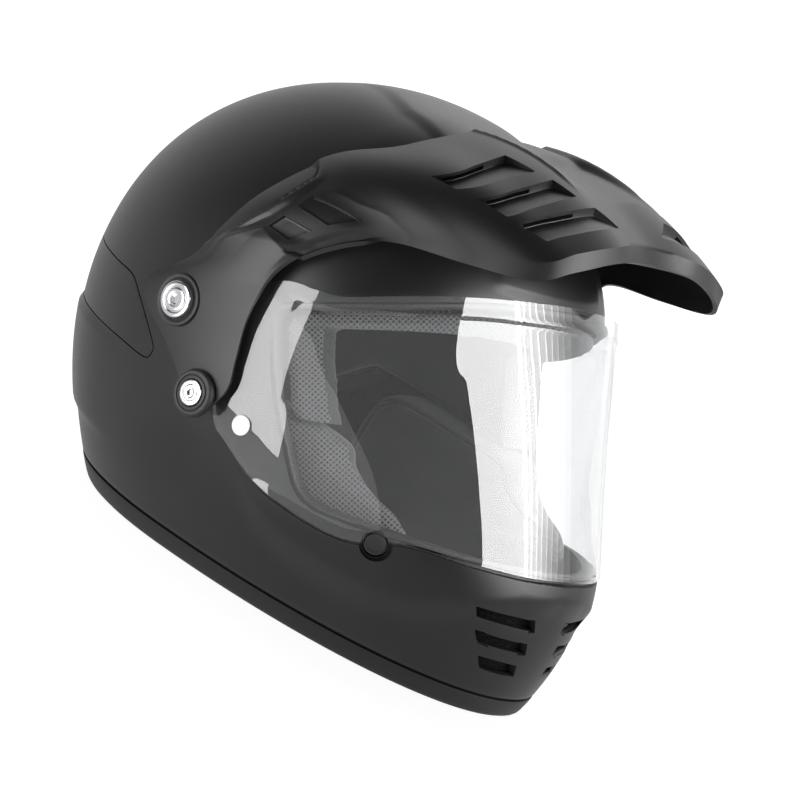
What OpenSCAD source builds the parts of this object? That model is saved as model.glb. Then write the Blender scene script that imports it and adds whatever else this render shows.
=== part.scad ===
// Full face helmet with a screwed-on peak and a clear flip-up shield.
// The face looks toward -Y, +X is the wearer's left, and the base plane is z = 0.
// Side outlines are lists of [y, z] drawn on a shell 180 forward, 157 back and 259 high
// of the crown axis; gx(), gy() and gz() carry such figures along with the real shell.

/* [Shell] */
// Height of the crown above the base plane
shell_h = 259; // [252:0.5:268]
// Half width at the widest level
shell_half_w = 122.7; // [119:0.1:128]
// Half width at the base plane
base_half_w = 88; // [84:0.5:92]
// Reach of the chin forward of the crown axis
shell_front = 179.6; // [175:0.1:185]
// Forward reach at the base plane
base_front = 171.3; // [167:0.1:175]
// Reach of the back behind the crown axis
shell_rear = 156.8; // [151:0.1:163]
// Rear reach at the base plane
base_rear = 109; // [103:0.5:115]
// How far the face drops back above the chin
face_dip = 26; // [23:0.5:29]
// Wall of the outer shell
shell_wall = 4; // [3.6:0.1:4.6]
// Height of the shell's lower edge above the base plane
shell_foot = 4; // [3:0.5:5]
// Distance from the crown axis back to the middle of the footprint
crown_y = 10.5; // [7:0.5:14]
// Clearance between pieces that are fitted together
fit_gap = 0.3; // [0.2:0.05:0.4]

/* [Base trim] */
// Height of the trim round the shell's lower edge
trim_h = 11; // [9:0.5:13]
// Thickness of the trim's outer lip
trim_lip = 1.5; // [1.2:0.1:1.8]
// Height of the trim's inner lip
trim_inner_h = 9; // [7:0.5:10]

/* [Rear panel] */
// Thickness of the rear panel
panel_wall = 2; // [1.4:0.1:2.4]
// Gap line round the rear panel
panel_gap = 0.6; // [0.4:0.1:1]

/* [Chin vents] */
// Distance from the middle to each slot's inner end
vent_x = 12; // [9:0.5:15]
// Height of a chin slot
vent_h = 5.5; // [4:0.5:6.5]
// Height of the lowest slot's middle
vent_z = 29; // [27:0.5:31]
// Spacing of the slots
vent_pitch = 12.5; // [11.5:0.5:14]
// Wall of the wire mesh behind the slots
mesh_wall = 0.8; // [0.6:0.1:1]

/* [Eyeport seal] */
// Width of the rubber seal's face
seal_w = 3; // [2.5:0.1:3.4]
// How far the seal stands out of the shell
seal_proud = 1.2; // [0.6:0.1:1.4]
// How far the seal reaches in behind the shell
seal_depth = 5; // [4.5:0.1:5.5]

/* [Foam and padding] */
// Thickness of the crushable foam
foam_wall = 25; // [22:0.5:27]
// Thickness of the comfort liner
liner_wall = 8; // [6:0.5:9]
// How far the liner's brow lip reaches into the eyeport
lip_w = 6; // [4:0.5:8]
// Thickness of the chin foam
chin_foam_wall = 15; // [12:0.5:17]
// Distance from the middle to the face of a cheek pad
cheek_x = 68; // [64:0.5:71]
// Crown of a cheek pad's face
cheek_crown = 7; // [5:0.5:8]
// Radial thickness of the neck roll
roll_w = 19; // [16:0.5:20]
// Height of the neck roll
roll_h = 17; // [14:0.5:18]

/* [Shield] */
// Wall of the clear shield
shield_wall = 2.2; // [1.8:0.1:2.6]
// Stand-off of the shield's outer face from the shell
shield_off = 5.7; // [5.3:0.1:6.2]
// Distance of the hinge axis behind the crown axis
pivot_y = 17; // [16:0.5:18]
// Height of the hinge axis
pivot_z = 121; // [120:0.5:122]
// Radius of the hinge boss
boss_r = 13.8; // [13:0.1:14]
// Radius of the shield's hub ring
hub_r = 16.2; // [16:0.1:16.6]
// Radius of the shield's ear round the hub
ear_r = 18.6; // [18.2:0.1:19]
// Radius of the base plate
plate_r = 27; // [25:0.5:28]
// Thickness of the base plate
plate_wall = 2; // [1.6:0.1:2.2]
// Radius of a lens pin's head
pin_r = 4.7; // [4:0.1:5.2]

/* [Shield lock] */
// Radius of the lock button
button_r = 5.6; // [5:0.1:6]
// How far the button stands out of the shell
button_proud = 3; // [2.5:0.1:4]
// Travel of the button
button_travel = 2; // [1.5:0.1:2.5]

/* [Peak] */
// Wall of the peak
peak_wall = 2.4; // [2:0.1:2.8]
// Half width of the peak's lip
lip_half_w = 84; // [80:0.5:88]
// Reach of the lip forward of the crown axis
lip_y = 142; // [136:0.5:148]
// Stand-off of the peak's arms from the shell's widest half width
arm_off = 6.8; // [6.3:0.1:8]
// Radius of the upper screw's dished washer
washer_r = 13.5; // [12:0.1:14.5]
// Radius of the upper screw's head
screw_head_r = 9.4; // [8.5:0.1:10]
// Radius of the upper screw's thread
screw_r = 3; // [2.5:0.1:3.4]
// Radius of the lower grommet
grommet_r = 12.3; // [11:0.1:13]
// Radius of the lower screw's head
lower_head_r = 6.7; // [6:0.1:7.4]
// Radius of the lower screw's thread
lower_screw_r = 2.2; // [1.8:0.1:2.5]
// Radius of the lower grommet's neck
neck_r = 4.6; // [4.2:0.1:4.8]

/* [Chin strap] */
// Width of the strap
strap_w = 22; // [18:0.5:24]
// Thickness of the strap
strap_wall = 2; // [1.6:0.1:2.2]
// Radius of a D-ring's wire
ring_wire_r = 1.8; // [1.5:0.1:2]

/* [Hidden] */
cols = 48;
widest_z = 130;
rear_z = 112;
chin_z = 50;
dip_z = 139;
dip_h = 58;
black = "#2b2b2d";
rubber = "#1c1c1e";
steel = "#d9dbde";
clear = [0.85, 0.92, 0.95, 0.35];

// Outlines carried along with the shell
function gy(y) = y * (y < 0 ? shell_front / 180 : shell_rear / 157);
function gz(z) = z * shell_h / 259;
function gx(x) = x * shell_half_w / 122.7;

// Profile of a reach m at the level zm, falling to b at the base and to nothing at the top h
function prof(z, h, zm, m, b, p) = z > zm
    ? m * pow(max(0, 1 - pow(min(1, (z - zm) / (h - zm)), p)), 1 / p)
    : m - (m - b) * pow((zm - z) / zm, 2);
function half_w(z, off) = prof(z, shell_h + off, gz(widest_z), shell_half_w + off, base_half_w + off, 2.19);
function rear_r(z, off) = prof(z, shell_h + off, gz(rear_z), shell_rear + off, base_rear + off, 2.07);
function front_r(z, off) = prof(z, shell_h + off, gz(chin_z), shell_front + off, base_front + off, 1.68)
    - face_dip * exp(-pow((z - gz(dip_z)) / dip_h, 2));
function ring_pt(a, z, off) =
    let (c = cos(a), s = sin(a), n = s < 0 ? 2.1 : 2.17,
         k = pow(pow(abs(c), n) + pow(abs(s), n), -1 / n),
         l = s < 0 ? front_r(z, off) : rear_r(z, off))
    [half_w(z, off) * c * k, l * s * k, z];
// Point of the left side at an outline's y and z, off outside the shell
function on(y, z, off = 0) =
    let (yy = gy(y), zz = gz(z), n = yy < 0 ? 2.1 : 2.17,
         l = yy < 0 ? front_r(zz, off) : rear_r(zz, off))
    [half_w(zz, off) * pow(max(0, 1 - pow(min(1, abs(yy) / l), n)), 1 / n), yy, zz];
// Point of the front at an outline's x and z, off outside the shell
function front(x, z, off = 0) =
    let (xx = gx(x), zz = gz(z))
    [xx, -front_r(zz, off) * pow(max(0, 1 - pow(abs(xx) / half_w(zz, off), 2.1)), 1 / 2.1), zz];

// Smooth curve through the points p, m steps to a span
function curve(p, m) = let (n = len(p) - 1) concat(
    [for (i = [0:n - 1], k = [0:m - 1]) let (t = k / m,
        a = i == 0 ? 2 * p[0] - p[1] : p[i - 1], b = p[i], c = p[i + 1],
        d = i == n - 1 ? 2 * p[n] - p[n - 1] : p[i + 2])
        0.5 * (2 * b + (c - a) * t + (2 * a - 5 * b + 4 * c - d) * t * t
            + (3 * b - a - 3 * c + d) * t * t * t)],
    [p[n]]);
function flip(v) = [-v[0], v[1], v[2]];
// Half a list from the left edge to the middle, completed to the right edge
function both(p) = concat(p, [for (i = [len(p) - 2:-1:0]) flip(p[i])]);
function unit(v) = v / norm(v);

// Solid through a row of closed sections with as many points each
module skin(rings, loop = false) {
    m = len(rings);
    n = len(rings[0]);
    pts = [for (r = rings, p = r) p];
    last = loop ? m - 1 : m - 2;
    walls = [for (i = [0:last], j = [0:n - 1], k = [0, 1])
        let (a = i * n + j, b = i * n + (j + 1) % n, c = (i + 1) % m * n + j, d = (i + 1) % m * n + (j + 1) % n)
        k == 0 ? [a, c, b] : [b, c, d]];
    h = floor(n / 2);
    ends = loop ? [] : [for (e = [0, 1], j = [0:h - 2], k = [0, 1])
        let (o = e == 0 ? 0 : (m - 1) * n, a = o + j, b = o + j + 1, c = o + n - 1 - j, d = o + n - 2 - j)
        k == 0 ? (e == 0 ? [a, b, c] : [a, c, b]) : (e == 0 ? [b, d, c] : [b, c, d])];
    polyhedron(pts, concat(walls, ends));
}
function level(z, off, n) = [for (j = [0:n - 1]) ring_pt(360 * j / n, z, off)];
// Shell shape grown by off, closed at the top, from the level z0
module dome(off, z0, n = cols) {
    mid = gz(widest_z);
    top = shell_h + off - 0.05;
    skin(concat([for (i = [0:7]) level(z0 + (mid - z0) * i / 8, off, n)],
        [for (i = [0:8]) level(mid + (top - mid) * sin(90 * i / 8), off, n)]));
}
// Shell shape grown by off, between two levels
module band(off, z0, z1, rows = 2, n = cols)
    skin([for (i = [0:rows]) level(z0 + (z1 - z0) * i / rows, off, n)]);
// Side outline swept across the whole width
module across(outline, grow = 0)
    rotate([90, 0, 90]) linear_extrude(2 * shell_half_w + 60, center = true)
        offset(r = grow) polygon([for (p = outline) [gy(p[0]), gz(p[1])]]);
// Cylinder along X on the left side, from x0 to x1
module bar(y, z, r, x0, x1, n = 48)
    translate([x0, y, z]) rotate([0, 90, 0]) cylinder(r = r, h = x1 - x0, $fn = n);
module placed() translate([0, crown_y, 0]) children();
module on_right() mirror([1, 0, 0]) children();

// Where things lie on the side
eyeport = [[-240, 60], [-168, 77], [-131, 72], [-100, 67], [-82, 66], [-71, 71], [-63, 84], [-52, 103],
    [-42, 120], [-35, 134], [-31.5, 144], [-34, 151], [-45, 157.5], [-73, 177], [-97, 193.5],
    [-103, 197], [-240, 215]];
panel = [[37, 91], [38, 95], [49, 104], [64, 114], [74, 118.5], [90, 118.5], [180, 117], [180, 85],
    [63, 87], [41, 87]];
upper_y = gy(24);
upper_z = gz(126);
lower_y = gy(-9.5);
lower_z = gz(90);
hinge_y = gy(pivot_y);
hinge_z = gz(pivot_z);
seat_x = shell_half_w - 2.2;
plate_x = seat_x + plate_wall;
ear_in = plate_x + 0.5;
ear_out = ear_in + shield_wall;
boss_x = ear_out + 0.9;
arm_x = shell_half_w + arm_off;
arm_in = arm_x - peak_wall;
button_len = 6;
cup_r = button_r + 1.2;
cup_floor = button_proud - button_len - button_travel - 3;
plate_screw_r = 2.4;
plate_screw_at = 21;
plate_screw_angles = [75, 215];
lock = on(-116, 65, 0);
lock_turn = -35;
anchor_z = gz(62);
anchor_y = -8;
rivet_r = 3;
anchor_tilt = atan2(half_w(anchor_z + 7, 0) - half_w(anchor_z - 7, 0), 14);
strap_in = shell_wall + 1.8;
ring_x = 36;
ring_z = gz(14);
loop_in = 4.5;

module vent_slot(i, grow = 0) {
    z = vent_z + i * vent_pitch;
    w = 24 + 6.5 * i;
    rotate([90, 0, 0]) linear_extrude(shell_front + 20) offset(r = grow)
        polygon([[vent_x, z - vent_h / 2], [vent_x + w - 4, z - vent_h / 2], [vent_x + w, z + vent_h / 2],
            [vent_x + 2, z + vent_h / 2]]);
}
module at_lock() translate(flip(lock)) rotate([0, 0, -lock_turn]) rotate([0, -90, 0]) children();
module lock_bore(gap) translate([0, 0, -20]) cylinder(r = cup_r + gap, h = 30, $fn = 48);
module side_holes() {
    bar(hinge_y, hinge_z, plate_r + fit_gap, seat_x, shell_half_w + 10);
    bar(upper_y, upper_z, 5 + fit_gap, shell_half_w - 30, shell_half_w + 10);
    bar(lower_y, lower_z, 4 + fit_gap, shell_half_w - 30, shell_half_w + 10);
    for (a = plate_screw_angles)
        bar(hinge_y + plate_screw_at * cos(a), hinge_z + plate_screw_at * sin(a), plate_screw_r + fit_gap,
            shell_half_w - 30, shell_half_w);
    at_anchor() translate([0, 0, -30]) cylinder(r = rivet_r + fit_gap, h = 28.2, $fn = 48);
}

module outer_shell() color(black) placed() difference() {
    dome(0, shell_foot);
    dome(-shell_wall, shell_foot - 1);
    difference() {
        band(2, shell_foot - 1, trim_h + fit_gap);
        band(-trim_lip, shell_foot - 2, trim_h + 1);
    }
    across(eyeport);
    difference() {
        across(panel, panel_gap);
        band(-panel_wall - 0.1, gz(78), gz(126), 3);
    }
    for (i = [0:2]) {
        vent_slot(i);
        on_right() vent_slot(i);
    }
    side_holes();
    on_right() side_holes();
    at_lock() lock_bore(fit_gap);
}

// U-section gasket that takes the shell's lower edge
module neck_trim() color(rubber) placed() difference() {
    band(fit_gap, 0, trim_h);
    band(-shell_wall - 2.2, -1, trim_h + 1);
    difference() {
        band(fit_gap - trim_lip, shell_foot - fit_gap, trim_h + 1);
        band(-shell_wall - fit_gap, shell_foot - 1, trim_inner_h);
    }
}

module rear_panel() color(black) placed() intersection() {
    difference() {
        band(0, gz(80), gz(124), 3);
        band(-panel_wall, gz(79), gz(125), 3);
    }
    across(panel);
}

module eyeport_seal() color(rubber) placed() difference() {
    intersection() {
        band(seal_proud, gz(62), gz(204), 9);
        across(eyeport, -fit_gap);
    }
    band(-seal_depth, gz(61), gz(205), 9);
    across(eyeport, -seal_w - fit_gap);
    at_lock() lock_bore(fit_gap);
}

mesh_off = -shell_wall - 2.5 * fit_gap;
module vent_mesh() difference() {
    intersection() {
        band(mesh_off, vent_z - vent_h, vent_z + 2 * vent_pitch + vent_h, 2);
        translate([vent_x - 4, -shell_front - 5, 0]) cube([48, shell_front - 80, 200]);
    }
    band(mesh_off - mesh_wall, vent_z - vent_h - 1, vent_z + 2 * vent_pitch + vent_h + 1, 2);
}
module vent_mesh_left() color("#3a3a3c") placed() vent_mesh();
module vent_mesh_right() color("#3a3a3c") placed() on_right() vent_mesh();

foam_off = -shell_wall - 2 * fit_gap;
liner_off = foam_off - foam_wall - 2 * fit_gap;
// Space in front of and below the crown foam
foam_cut = [[-250, -20], [190, -20], [190, 32], [104, 34], [44, 99], [-36, 101], [-41, 119], [-33.5, 134],
    [-30, 144], [-33, 153], [-45, 160], [-73, 179.5], [-97, 196], [-103, 199.5], [-250, 219]];
module nut_pocket() {
    bar(upper_y, upper_z, 11.5, shell_half_w - 14, shell_half_w);
    bar(lower_y, lower_z, 10.5, shell_half_w - 16, shell_half_w);
    for (a = plate_screw_angles)
        bar(hinge_y + plate_screw_at * cos(a), hinge_z + plate_screw_at * sin(a), plate_screw_r + 1,
            shell_half_w - 14, shell_half_w);
}
module foam_liner() color("#303032") placed() difference() {
    dome(foam_off, gz(30), 36);
    dome(foam_off - foam_wall, gz(29), 36);
    across(foam_cut);
    nut_pocket();
    on_right() nut_pocket();
}

module chin_foam() color("#303032") placed() intersection() {
    difference() {
        band(mesh_off - mesh_wall - 2.5 * fit_gap, trim_h + 1, gz(60), 3, 36);
        band(-shell_wall - mesh_wall - chin_foam_wall, trim_h, gz(61), 3, 36);
    }
    difference() {
        translate([-150, -250, 0]) cube([300, 250 + gy(-99), 100]);
        at_lock() lock_bore(2);
    }
}

liner_cut = [[-250, -20], [190, -20], [190, 40], [104, 42], [44, 101], [-20, 101], [-50, 101.5],
    [-250, 101.5]];
module crown_liner() color("#6c6e72") placed() difference() {
    union() {
        dome(liner_off, gz(41), 30);
        intersection() {
            dome(-seal_depth - fit_gap, gz(95), 30);
            across(eyeport, -seal_w - 2 * fit_gap);
        }
    }
    dome(liner_off - liner_wall, gz(40), 30);
    across(eyeport, -seal_w - lip_w);
    across(liner_cut);
}

cheek = [[-122, 67], [-113, 77], [-92, 82], [-77, 89], [-67, 98.5], [-28, 99], [14, 97], [29, 84], [32, 50],
    [23, 28], [-30, 24], [-76, 27], [-92, 46], [-97, 62]];
// Cushion between the shell and the face: flat back, drawn-in sides, crowned face
module cheek_pad() {
    loop = curve(concat(cheek, [cheek[0]]), 2);
    n = len(loop) - 1;
    mid_y = -38;
    mid_z = 64;
    function back(y, z) = on(y, z, -seal_depth - 3 * fit_gap)[0];
    function face(y, z) = min(cheek_x, back(y, z) - 12);
    function row(s, f, up) = [for (j = [0:n - 1])
        let (y = mid_y + (loop[j][0] - mid_y) * s, z = mid_z + (loop[j][1] - mid_z) * s,
             b = back(y, z), c = face(y, z))
        [b + (c - b) * f - up, gy(y), gz(z)]];
    skin([row(0.02, 0, 0), row(0.5, 0, 0), row(0.93, 0, 0), row(0.985, 0.2, 0), row(1, 0.5, 0),
        row(0.98, 0.8, 0), row(0.9, 1, 0), row(0.7, 1, 0.6 * cheek_crown), row(0.4, 1, 0.95 * cheek_crown),
        row(0.02, 1, cheek_crown)]);
}
module cheek_half() difference() {
    cheek_pad();
    strap_channel();
    at_anchor() translate([-12, -11, -14]) cube([24, 22, 20]);
    nut_pocket();
}
module cheek_pad_left() color("#55575a") placed() cheek_half();
module cheek_pad_right() color("#55575a") placed() difference() {
    on_right() cheek_half();
    at_lock() lock_bore(2);
}

// Cushion round the back of the neck, an oval section that thins toward its ends
module neck_roll() color("#46484b") placed()
    skin([for (i = [0:24]) let (a = 22 + 136 * i / 24, s = 0.55 + 0.45 * pow(sin(180 * i / 24), 0.5))
        [for (k = [0:11]) let (
            off = -shell_wall - 3 * fit_gap - roll_w / 2 * (1 - s * cos(30 * k)))
            ring_pt(a, trim_h + 1 + roll_h / 2 - s * roll_h / 2 * sin(30 * k), off)]]);

// Guide points of the peak's left half from the arm's tip to the middle:
// rear edge, top of the lip, bottom of the lip, and the swell between rear edge and lip
peak_guide = [
    [[arm_x - 1, gy(-3), gz(79)], [arm_x - 0.5, gy(-14), gz(80.5)], [arm_x - 1, gy(-14.5), gz(80)], 0],
    [[arm_x, gy(7), gz(93)], [arm_x + 1, gy(-25), gz(99)], [arm_x + 0.5, gy(-25.5), gz(99)], 0.5],
    [[arm_x, gy(25), gz(105)], [arm_x + 2, gy(-23), gz(116)], [arm_x + 1.5, gy(-23.5), gz(116)], 1],
    [[arm_x, gy(45), gz(116)], [arm_x + 2.5, gy(-20), gz(132)], [arm_x + 2, gy(-20.5), gz(132)], 1],
    [[arm_x - 0.5, gy(49), gz(128)], [arm_x + 2.5, gy(-19), gz(147)], [arm_x + 2, gy(-20), gz(147)], 2],
    [[arm_x - 1.5, gy(30), gz(149)], [arm_x - 0.5, gy(-21), gz(165)], [arm_x - 1.5, gy(-22), gz(164.5)], 4],
    [[arm_x - 3.5, gy(26), gz(166)], [arm_x - 6.5, gy(-30), gz(182)], [arm_x - 7.5, gy(-31), gz(180.5)], 6],
    [[on(17, 190, 8)[0] + 1, gy(17), gz(190)], [gx(113), gy(-45), gz(197)], [gx(112), gy(-46), gz(195)], 8],
    [[gx(107), gy(6), gz(213)], [gx(102), gy(-62), gz(207)], [gx(101), gy(-63), gz(203.5)], 9],
    [[gx(96), gy(-4), gz(227)], [gx(93), gy(-98), gz(217)], [gx(92), gy(-98), gz(210.5)], 11],
    [[gx(79), gy(-20), gz(240)], [lip_half_w, 10 - lip_y, gz(229)], [lip_half_w, 10 - lip_y, gz(219)], 11],
    [[gx(58), gy(-25), gz(250)], [0.79 * lip_half_w, 4 - lip_y, gz(239)], [0.79 * lip_half_w, 1 - lip_y, gz(230)], 9],
    [[gx(28), gy(-29), gz(261)], [0.43 * lip_half_w, 3 - lip_y, gz(247)], [0.43 * lip_half_w, -lip_y, gz(239)], 9],
    [[0, gy(-29), gz(262)], [0, 13 - lip_y, gz(247)], [0, 6 - lip_y, gz(240)], 7]];
washer_x = arm_x + 1.6;
grommet_x = arm_x + 1.2;
peak_steps = 2;
peak_rear = curve(both([for (g = peak_guide) g[0]]), peak_steps);
peak_top = curve(both([for (g = peak_guide) g[1]]), peak_steps);
peak_low = curve(both([for (g = peak_guide) g[2]]), peak_steps);
peak_swell = curve(both([for (g = peak_guide) [g[3], 0, 0]]), peak_steps);
function peak_out(p) = unit([p[0], 0, p[2] - gz(130)]);
function peak_pt(i, t, depth) =
    let (p = peak_rear[i] + (peak_top[i] - peak_rear[i]) * t, o = peak_out(p))
    p + o * (4 * t * (1 - t) * abs(peak_swell[i][0]) - depth);
function peak_edge(i, depth) = peak_low[i] - peak_out(peak_low[i]) * depth;
peak_vents = [[-43, 12], [-66, 12], [-89, 12]];
module peak_slot(y, w) translate([0, 0, gz(225)]) linear_extrude(60)
    polygon([[gx(22), gy(y) - 4], [gx(22), gy(y) + 1], [gx(50), gy(y) + w - 2], [gx(50), gy(y) + w - 7]]);
module peak() color(black) placed() difference() {
    skin([for (i = [0:len(peak_rear) - 1]) concat(
        [for (t = [0, 0.2, 0.4, 0.6, 0.8, 0.98]) peak_pt(i, t, peak_wall)],
        [peak_edge(i, peak_wall), peak_edge(i, 0)],
        [for (t = [1, 0.8, 0.6, 0.4, 0.2, 0]) peak_pt(i, t, 0)])]);
    for (v = peak_vents) {
        peak_slot(v[0], v[1]);
        on_right() peak_slot(v[0], v[1]);
    }
    for (s = [0, 1]) mirror([s, 0, 0]) {
        bar(upper_y, upper_z, screw_r + 2 + fit_gap, arm_in - 10, arm_x + 10);
        bar(upper_y, upper_z, washer_r + fit_gap, washer_x - fit_gap, arm_x + 10);
        bar(lower_y, lower_z, neck_r + fit_gap, arm_in - 10, arm_x + 10);
        bar(lower_y, lower_z, grommet_r + fit_gap, grommet_x - fit_gap, arm_x + 10);
    }
}

module peak_washer() difference() {
    union() {
        bar(upper_y, upper_z, screw_r + 2, boss_x, washer_x + 1);
        bar(upper_y, upper_z, washer_r, washer_x, washer_x + 2.6);
    }
    bar(upper_y, upper_z, screw_r + 0.2, boss_x - 1, washer_x + 5);
    bar(upper_y, upper_z, screw_head_r + 0.8, washer_x + 1, washer_x + 5);
}
module peak_washer_left() color(rubber) placed() peak_washer();
module peak_washer_right() color(rubber) placed() on_right() peak_washer();

module peak_screw() difference() {
    union() {
        bar(upper_y, upper_z, screw_head_r, washer_x + 1, washer_x + 4);
        bar(upper_y, upper_z, screw_r, shell_half_w - 8, washer_x + 2);
    }
    bar(upper_y, upper_z, 2.9, washer_x + 1.8, washer_x + 6, 6);
}
module peak_screw_left() color(steel) placed() peak_screw();
module peak_screw_right() color(steel) placed() on_right() peak_screw();

shell_at_lower = on(-9.5, 90, 0)[0];
module lower_grommet() difference() {
    union() {
        bar(lower_y, lower_z, neck_r, shell_at_lower + 3 * fit_gap, grommet_x + 1);
        bar(lower_y, lower_z, grommet_r, grommet_x, grommet_x + 5);
    }
    bar(lower_y, lower_z, lower_screw_r + 0.2, shell_at_lower - 5, grommet_x + 8);
    bar(lower_y, lower_z, lower_head_r + fit_gap, grommet_x + 2.5, grommet_x + 8);
}
module lower_grommet_left() color(rubber) placed() lower_grommet();
module lower_grommet_right() color(rubber) placed() on_right() lower_grommet();

module lower_screw() difference() {
    union() {
        bar(lower_y, lower_z, lower_head_r, grommet_x + 2.5, grommet_x + 5.6);
        bar(lower_y, lower_z, lower_screw_r, shell_half_w - 11, grommet_x + 3);
    }
    bar(lower_y, lower_z, 2.3, grommet_x + 3.6, grommet_x + 8, 6);
}
module lower_screw_left() color(steel) placed() lower_screw();
module lower_screw_right() color(steel) placed() on_right() lower_screw();

// Flanged nuts behind the shell: barrel in the hole, flange on the inside
module insert_nut(y, z, bore, barrel, flange, back_x, seat) difference() {
    union() {
        bar(y, z, barrel, back_x, seat);
        bar(y, z, flange, back_x - 2, back_x);
    }
    bar(y, z, bore, back_x - 5, seat + 5);
}
module nut_pair() {
    insert_nut(upper_y, upper_z, screw_r + 0.2, 5, 9, on(33, 126, -shell_wall)[0] - 2 * fit_gap, seat_x);
    insert_nut(lower_y, lower_z, lower_screw_r + 0.2, 4, 8, on(-9.5, 82, -shell_wall)[0] - 2 * fit_gap,
        shell_at_lower);
}
module insert_nuts() color("#a8aaad") placed() {
    nut_pair();
    on_right() nut_pair();
}

// Plate with the round boss that the shield turns on
module base_plate() difference() {
    union() {
        bar(hinge_y, hinge_z, plate_r, seat_x, plate_x);
        bar(hinge_y, hinge_z, boss_r, seat_x, boss_x);
    }
    bar(upper_y, upper_z, screw_r + 0.4, seat_x - 1, boss_x + 1);
    for (a = plate_screw_angles)
        bar(hinge_y + plate_screw_at * cos(a), hinge_z + plate_screw_at * sin(a), plate_screw_r + 0.1,
            seat_x - 1, plate_x + 1);
}
module base_plate_left() color("#3c3d40") placed() base_plate();
module base_plate_right() color("#3c3d40") placed() on_right() base_plate();
module plate_screw_set() for (a = plate_screw_angles)
    bar(hinge_y + plate_screw_at * cos(a), hinge_z + plate_screw_at * sin(a), plate_screw_r,
        seat_x - 6, plate_x);
module base_plate_screws() color(steel) placed() {
    plate_screw_set();
    on_right() plate_screw_set();
}

// Guide points of the shield's left half from the ear to the middle:
// upper edge, lower edge, and the swell between them
shield_guide = [
    [[ear_out, gy(4), gz(146)], [ear_out, gy(-9), gz(104)], 0],
    [on(-26, 162, shield_off), on(-20.5, 81, shield_off), 3.2],
    [on(-40, 165, shield_off), on(-30, 75, shield_off), 4],
    [on(-54, 168.5, shield_off), on(-46, 67, shield_off), 5],
    [on(-73, 180, shield_off), on(-66, 62, shield_off), 7.6],
    [on(-87, 189, shield_off), on(-104, 61, shield_off), 7.8],
    [front(58, 195, shield_off), front(83, 73, shield_off), 3],
    [front(38, 198.5, shield_off), front(58, 76, shield_off), 1],
    [front(18, 200.5, shield_off), front(29, 77.5, shield_off), 0.5],
    [front(0, 201, shield_off), front(0, 78.5, shield_off), 0.5]];
shield_steps = 3;
shield_upper = curve(both([for (g = shield_guide) g[0]]), shield_steps);
shield_lower = curve(both([for (g = shield_guide) g[1]]), shield_steps);
shield_swell = curve(both([for (g = shield_guide) [g[2], 0, 0]]), shield_steps);
function shield_out(i, t) = let (p = shield_lower[i] + (shield_upper[i] - shield_lower[i]) * t)
    unit([p[0], (p[1] + 20) * 0.8, 0]);
function shield_pt(i, t, depth) =
    let (p = shield_lower[i] + (shield_upper[i] - shield_lower[i]) * t,
         o = i == 0 || i == len(shield_lower) - 1 ? unit([p[0], 0, 0]) : shield_out(i, t))
    p + o * (4 * t * (1 - t) * abs(shield_swell[i][0]) - depth);
pin_i = 7;
pin_t = 0.155;
pin_out = shield_out(pin_i, pin_t);
pin_at = shield_pt(pin_i, pin_t, 0);
module at_pin() translate(pin_at) rotate([0, 90, atan2(pin_out[1], pin_out[0])]) children();
module shield_ear() difference() {
    translate([ear_in - 0.1, 0, 0]) rotate([90, 0, 90]) linear_extrude(shield_wall) difference() {
        union() {
            translate([hinge_y, hinge_z]) circle(r = ear_r, $fn = 64);
            polygon([[hinge_y + 2, hinge_z + ear_r - 0.1], [gy(3), gz(146)], [gy(-9.6), gz(104)],
                [hinge_y - 6, hinge_z - ear_r + 1]]);
        }
        translate([hinge_y, hinge_z]) circle(r = hub_r, $fn = 64);
    }
}
module face_shield() color(clear) placed() difference() {
    union() {
        skin([for (i = [0:len(shield_lower) - 1]) concat(
            [for (t = [0, 0.2, 0.4, 0.6, 0.8, 1]) shield_pt(i, t, 0)],
            [for (t = [1, 0.8, 0.6, 0.4, 0.2, 0]) shield_pt(i, t, shield_wall)])]);
        shield_ear();
        on_right() shield_ear();
    }
    at_pin() cylinder(r = 2.1, h = 12, center = true, $fn = 32);
    on_right() at_pin() cylinder(r = 2.1, h = 12, center = true, $fn = 32);
    bar(hinge_y, hinge_z, hub_r, ear_in - 3, ear_out + 3);
    on_right() bar(hinge_y, hinge_z, hub_r, ear_in - 3, ear_out + 3);
    at_lock() translate([0, 0, -5]) cylinder(r = cup_r, h = 20, $fn = 48);
}

module hub_ring() difference() {
    bar(hinge_y, hinge_z, hub_r, ear_in - 0.2, ear_out + 0.2);
    bar(hinge_y, hinge_z, boss_r + fit_gap, ear_in - 1, ear_out + 1);
}
module hub_ring_left() color("#3c3d40") placed() hub_ring();
module hub_ring_right() color("#3c3d40") placed() on_right() hub_ring();

module lens_pin() at_pin() {
    translate([0, 0, 0.65]) cylinder(r = pin_r, h = 1.3, $fn = 48);
    translate([0, 0, -shield_wall - 0.8]) cylinder(r = 2, h = shield_wall + 1.6, $fn = 32);
}
module lens_pin_left() color("#f4f5f6") placed() lens_pin();
module lens_pin_right() color("#f4f5f6") placed() on_right() lens_pin();

// Cup let into the chin's upper edge, open outward, with a button on a spring
module lock_housing() color("#2e2e30") placed() at_lock() difference() {
    translate([0, 0, cup_floor - 1.5]) cylinder(r = cup_r, h = -cup_floor, $fn = 48);
    translate([0, 0, cup_floor]) cylinder(r = button_r + fit_gap, h = 30, $fn = 48);
}
module lock_button() color("#48494c") placed() at_lock()
    translate([0, 0, button_proud - button_len]) cylinder(r = button_r, h = button_len, $fn = 48);
module lock_spring() color(steel) placed() at_lock() difference() {
    translate([0, 0, cup_floor]) cylinder(r = 3.6, h = button_proud - button_len - cup_floor, $fn = 32);
    translate([0, 0, cup_floor - 1]) cylinder(r = 2.6, h = 20, $fn = 32);
}

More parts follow.
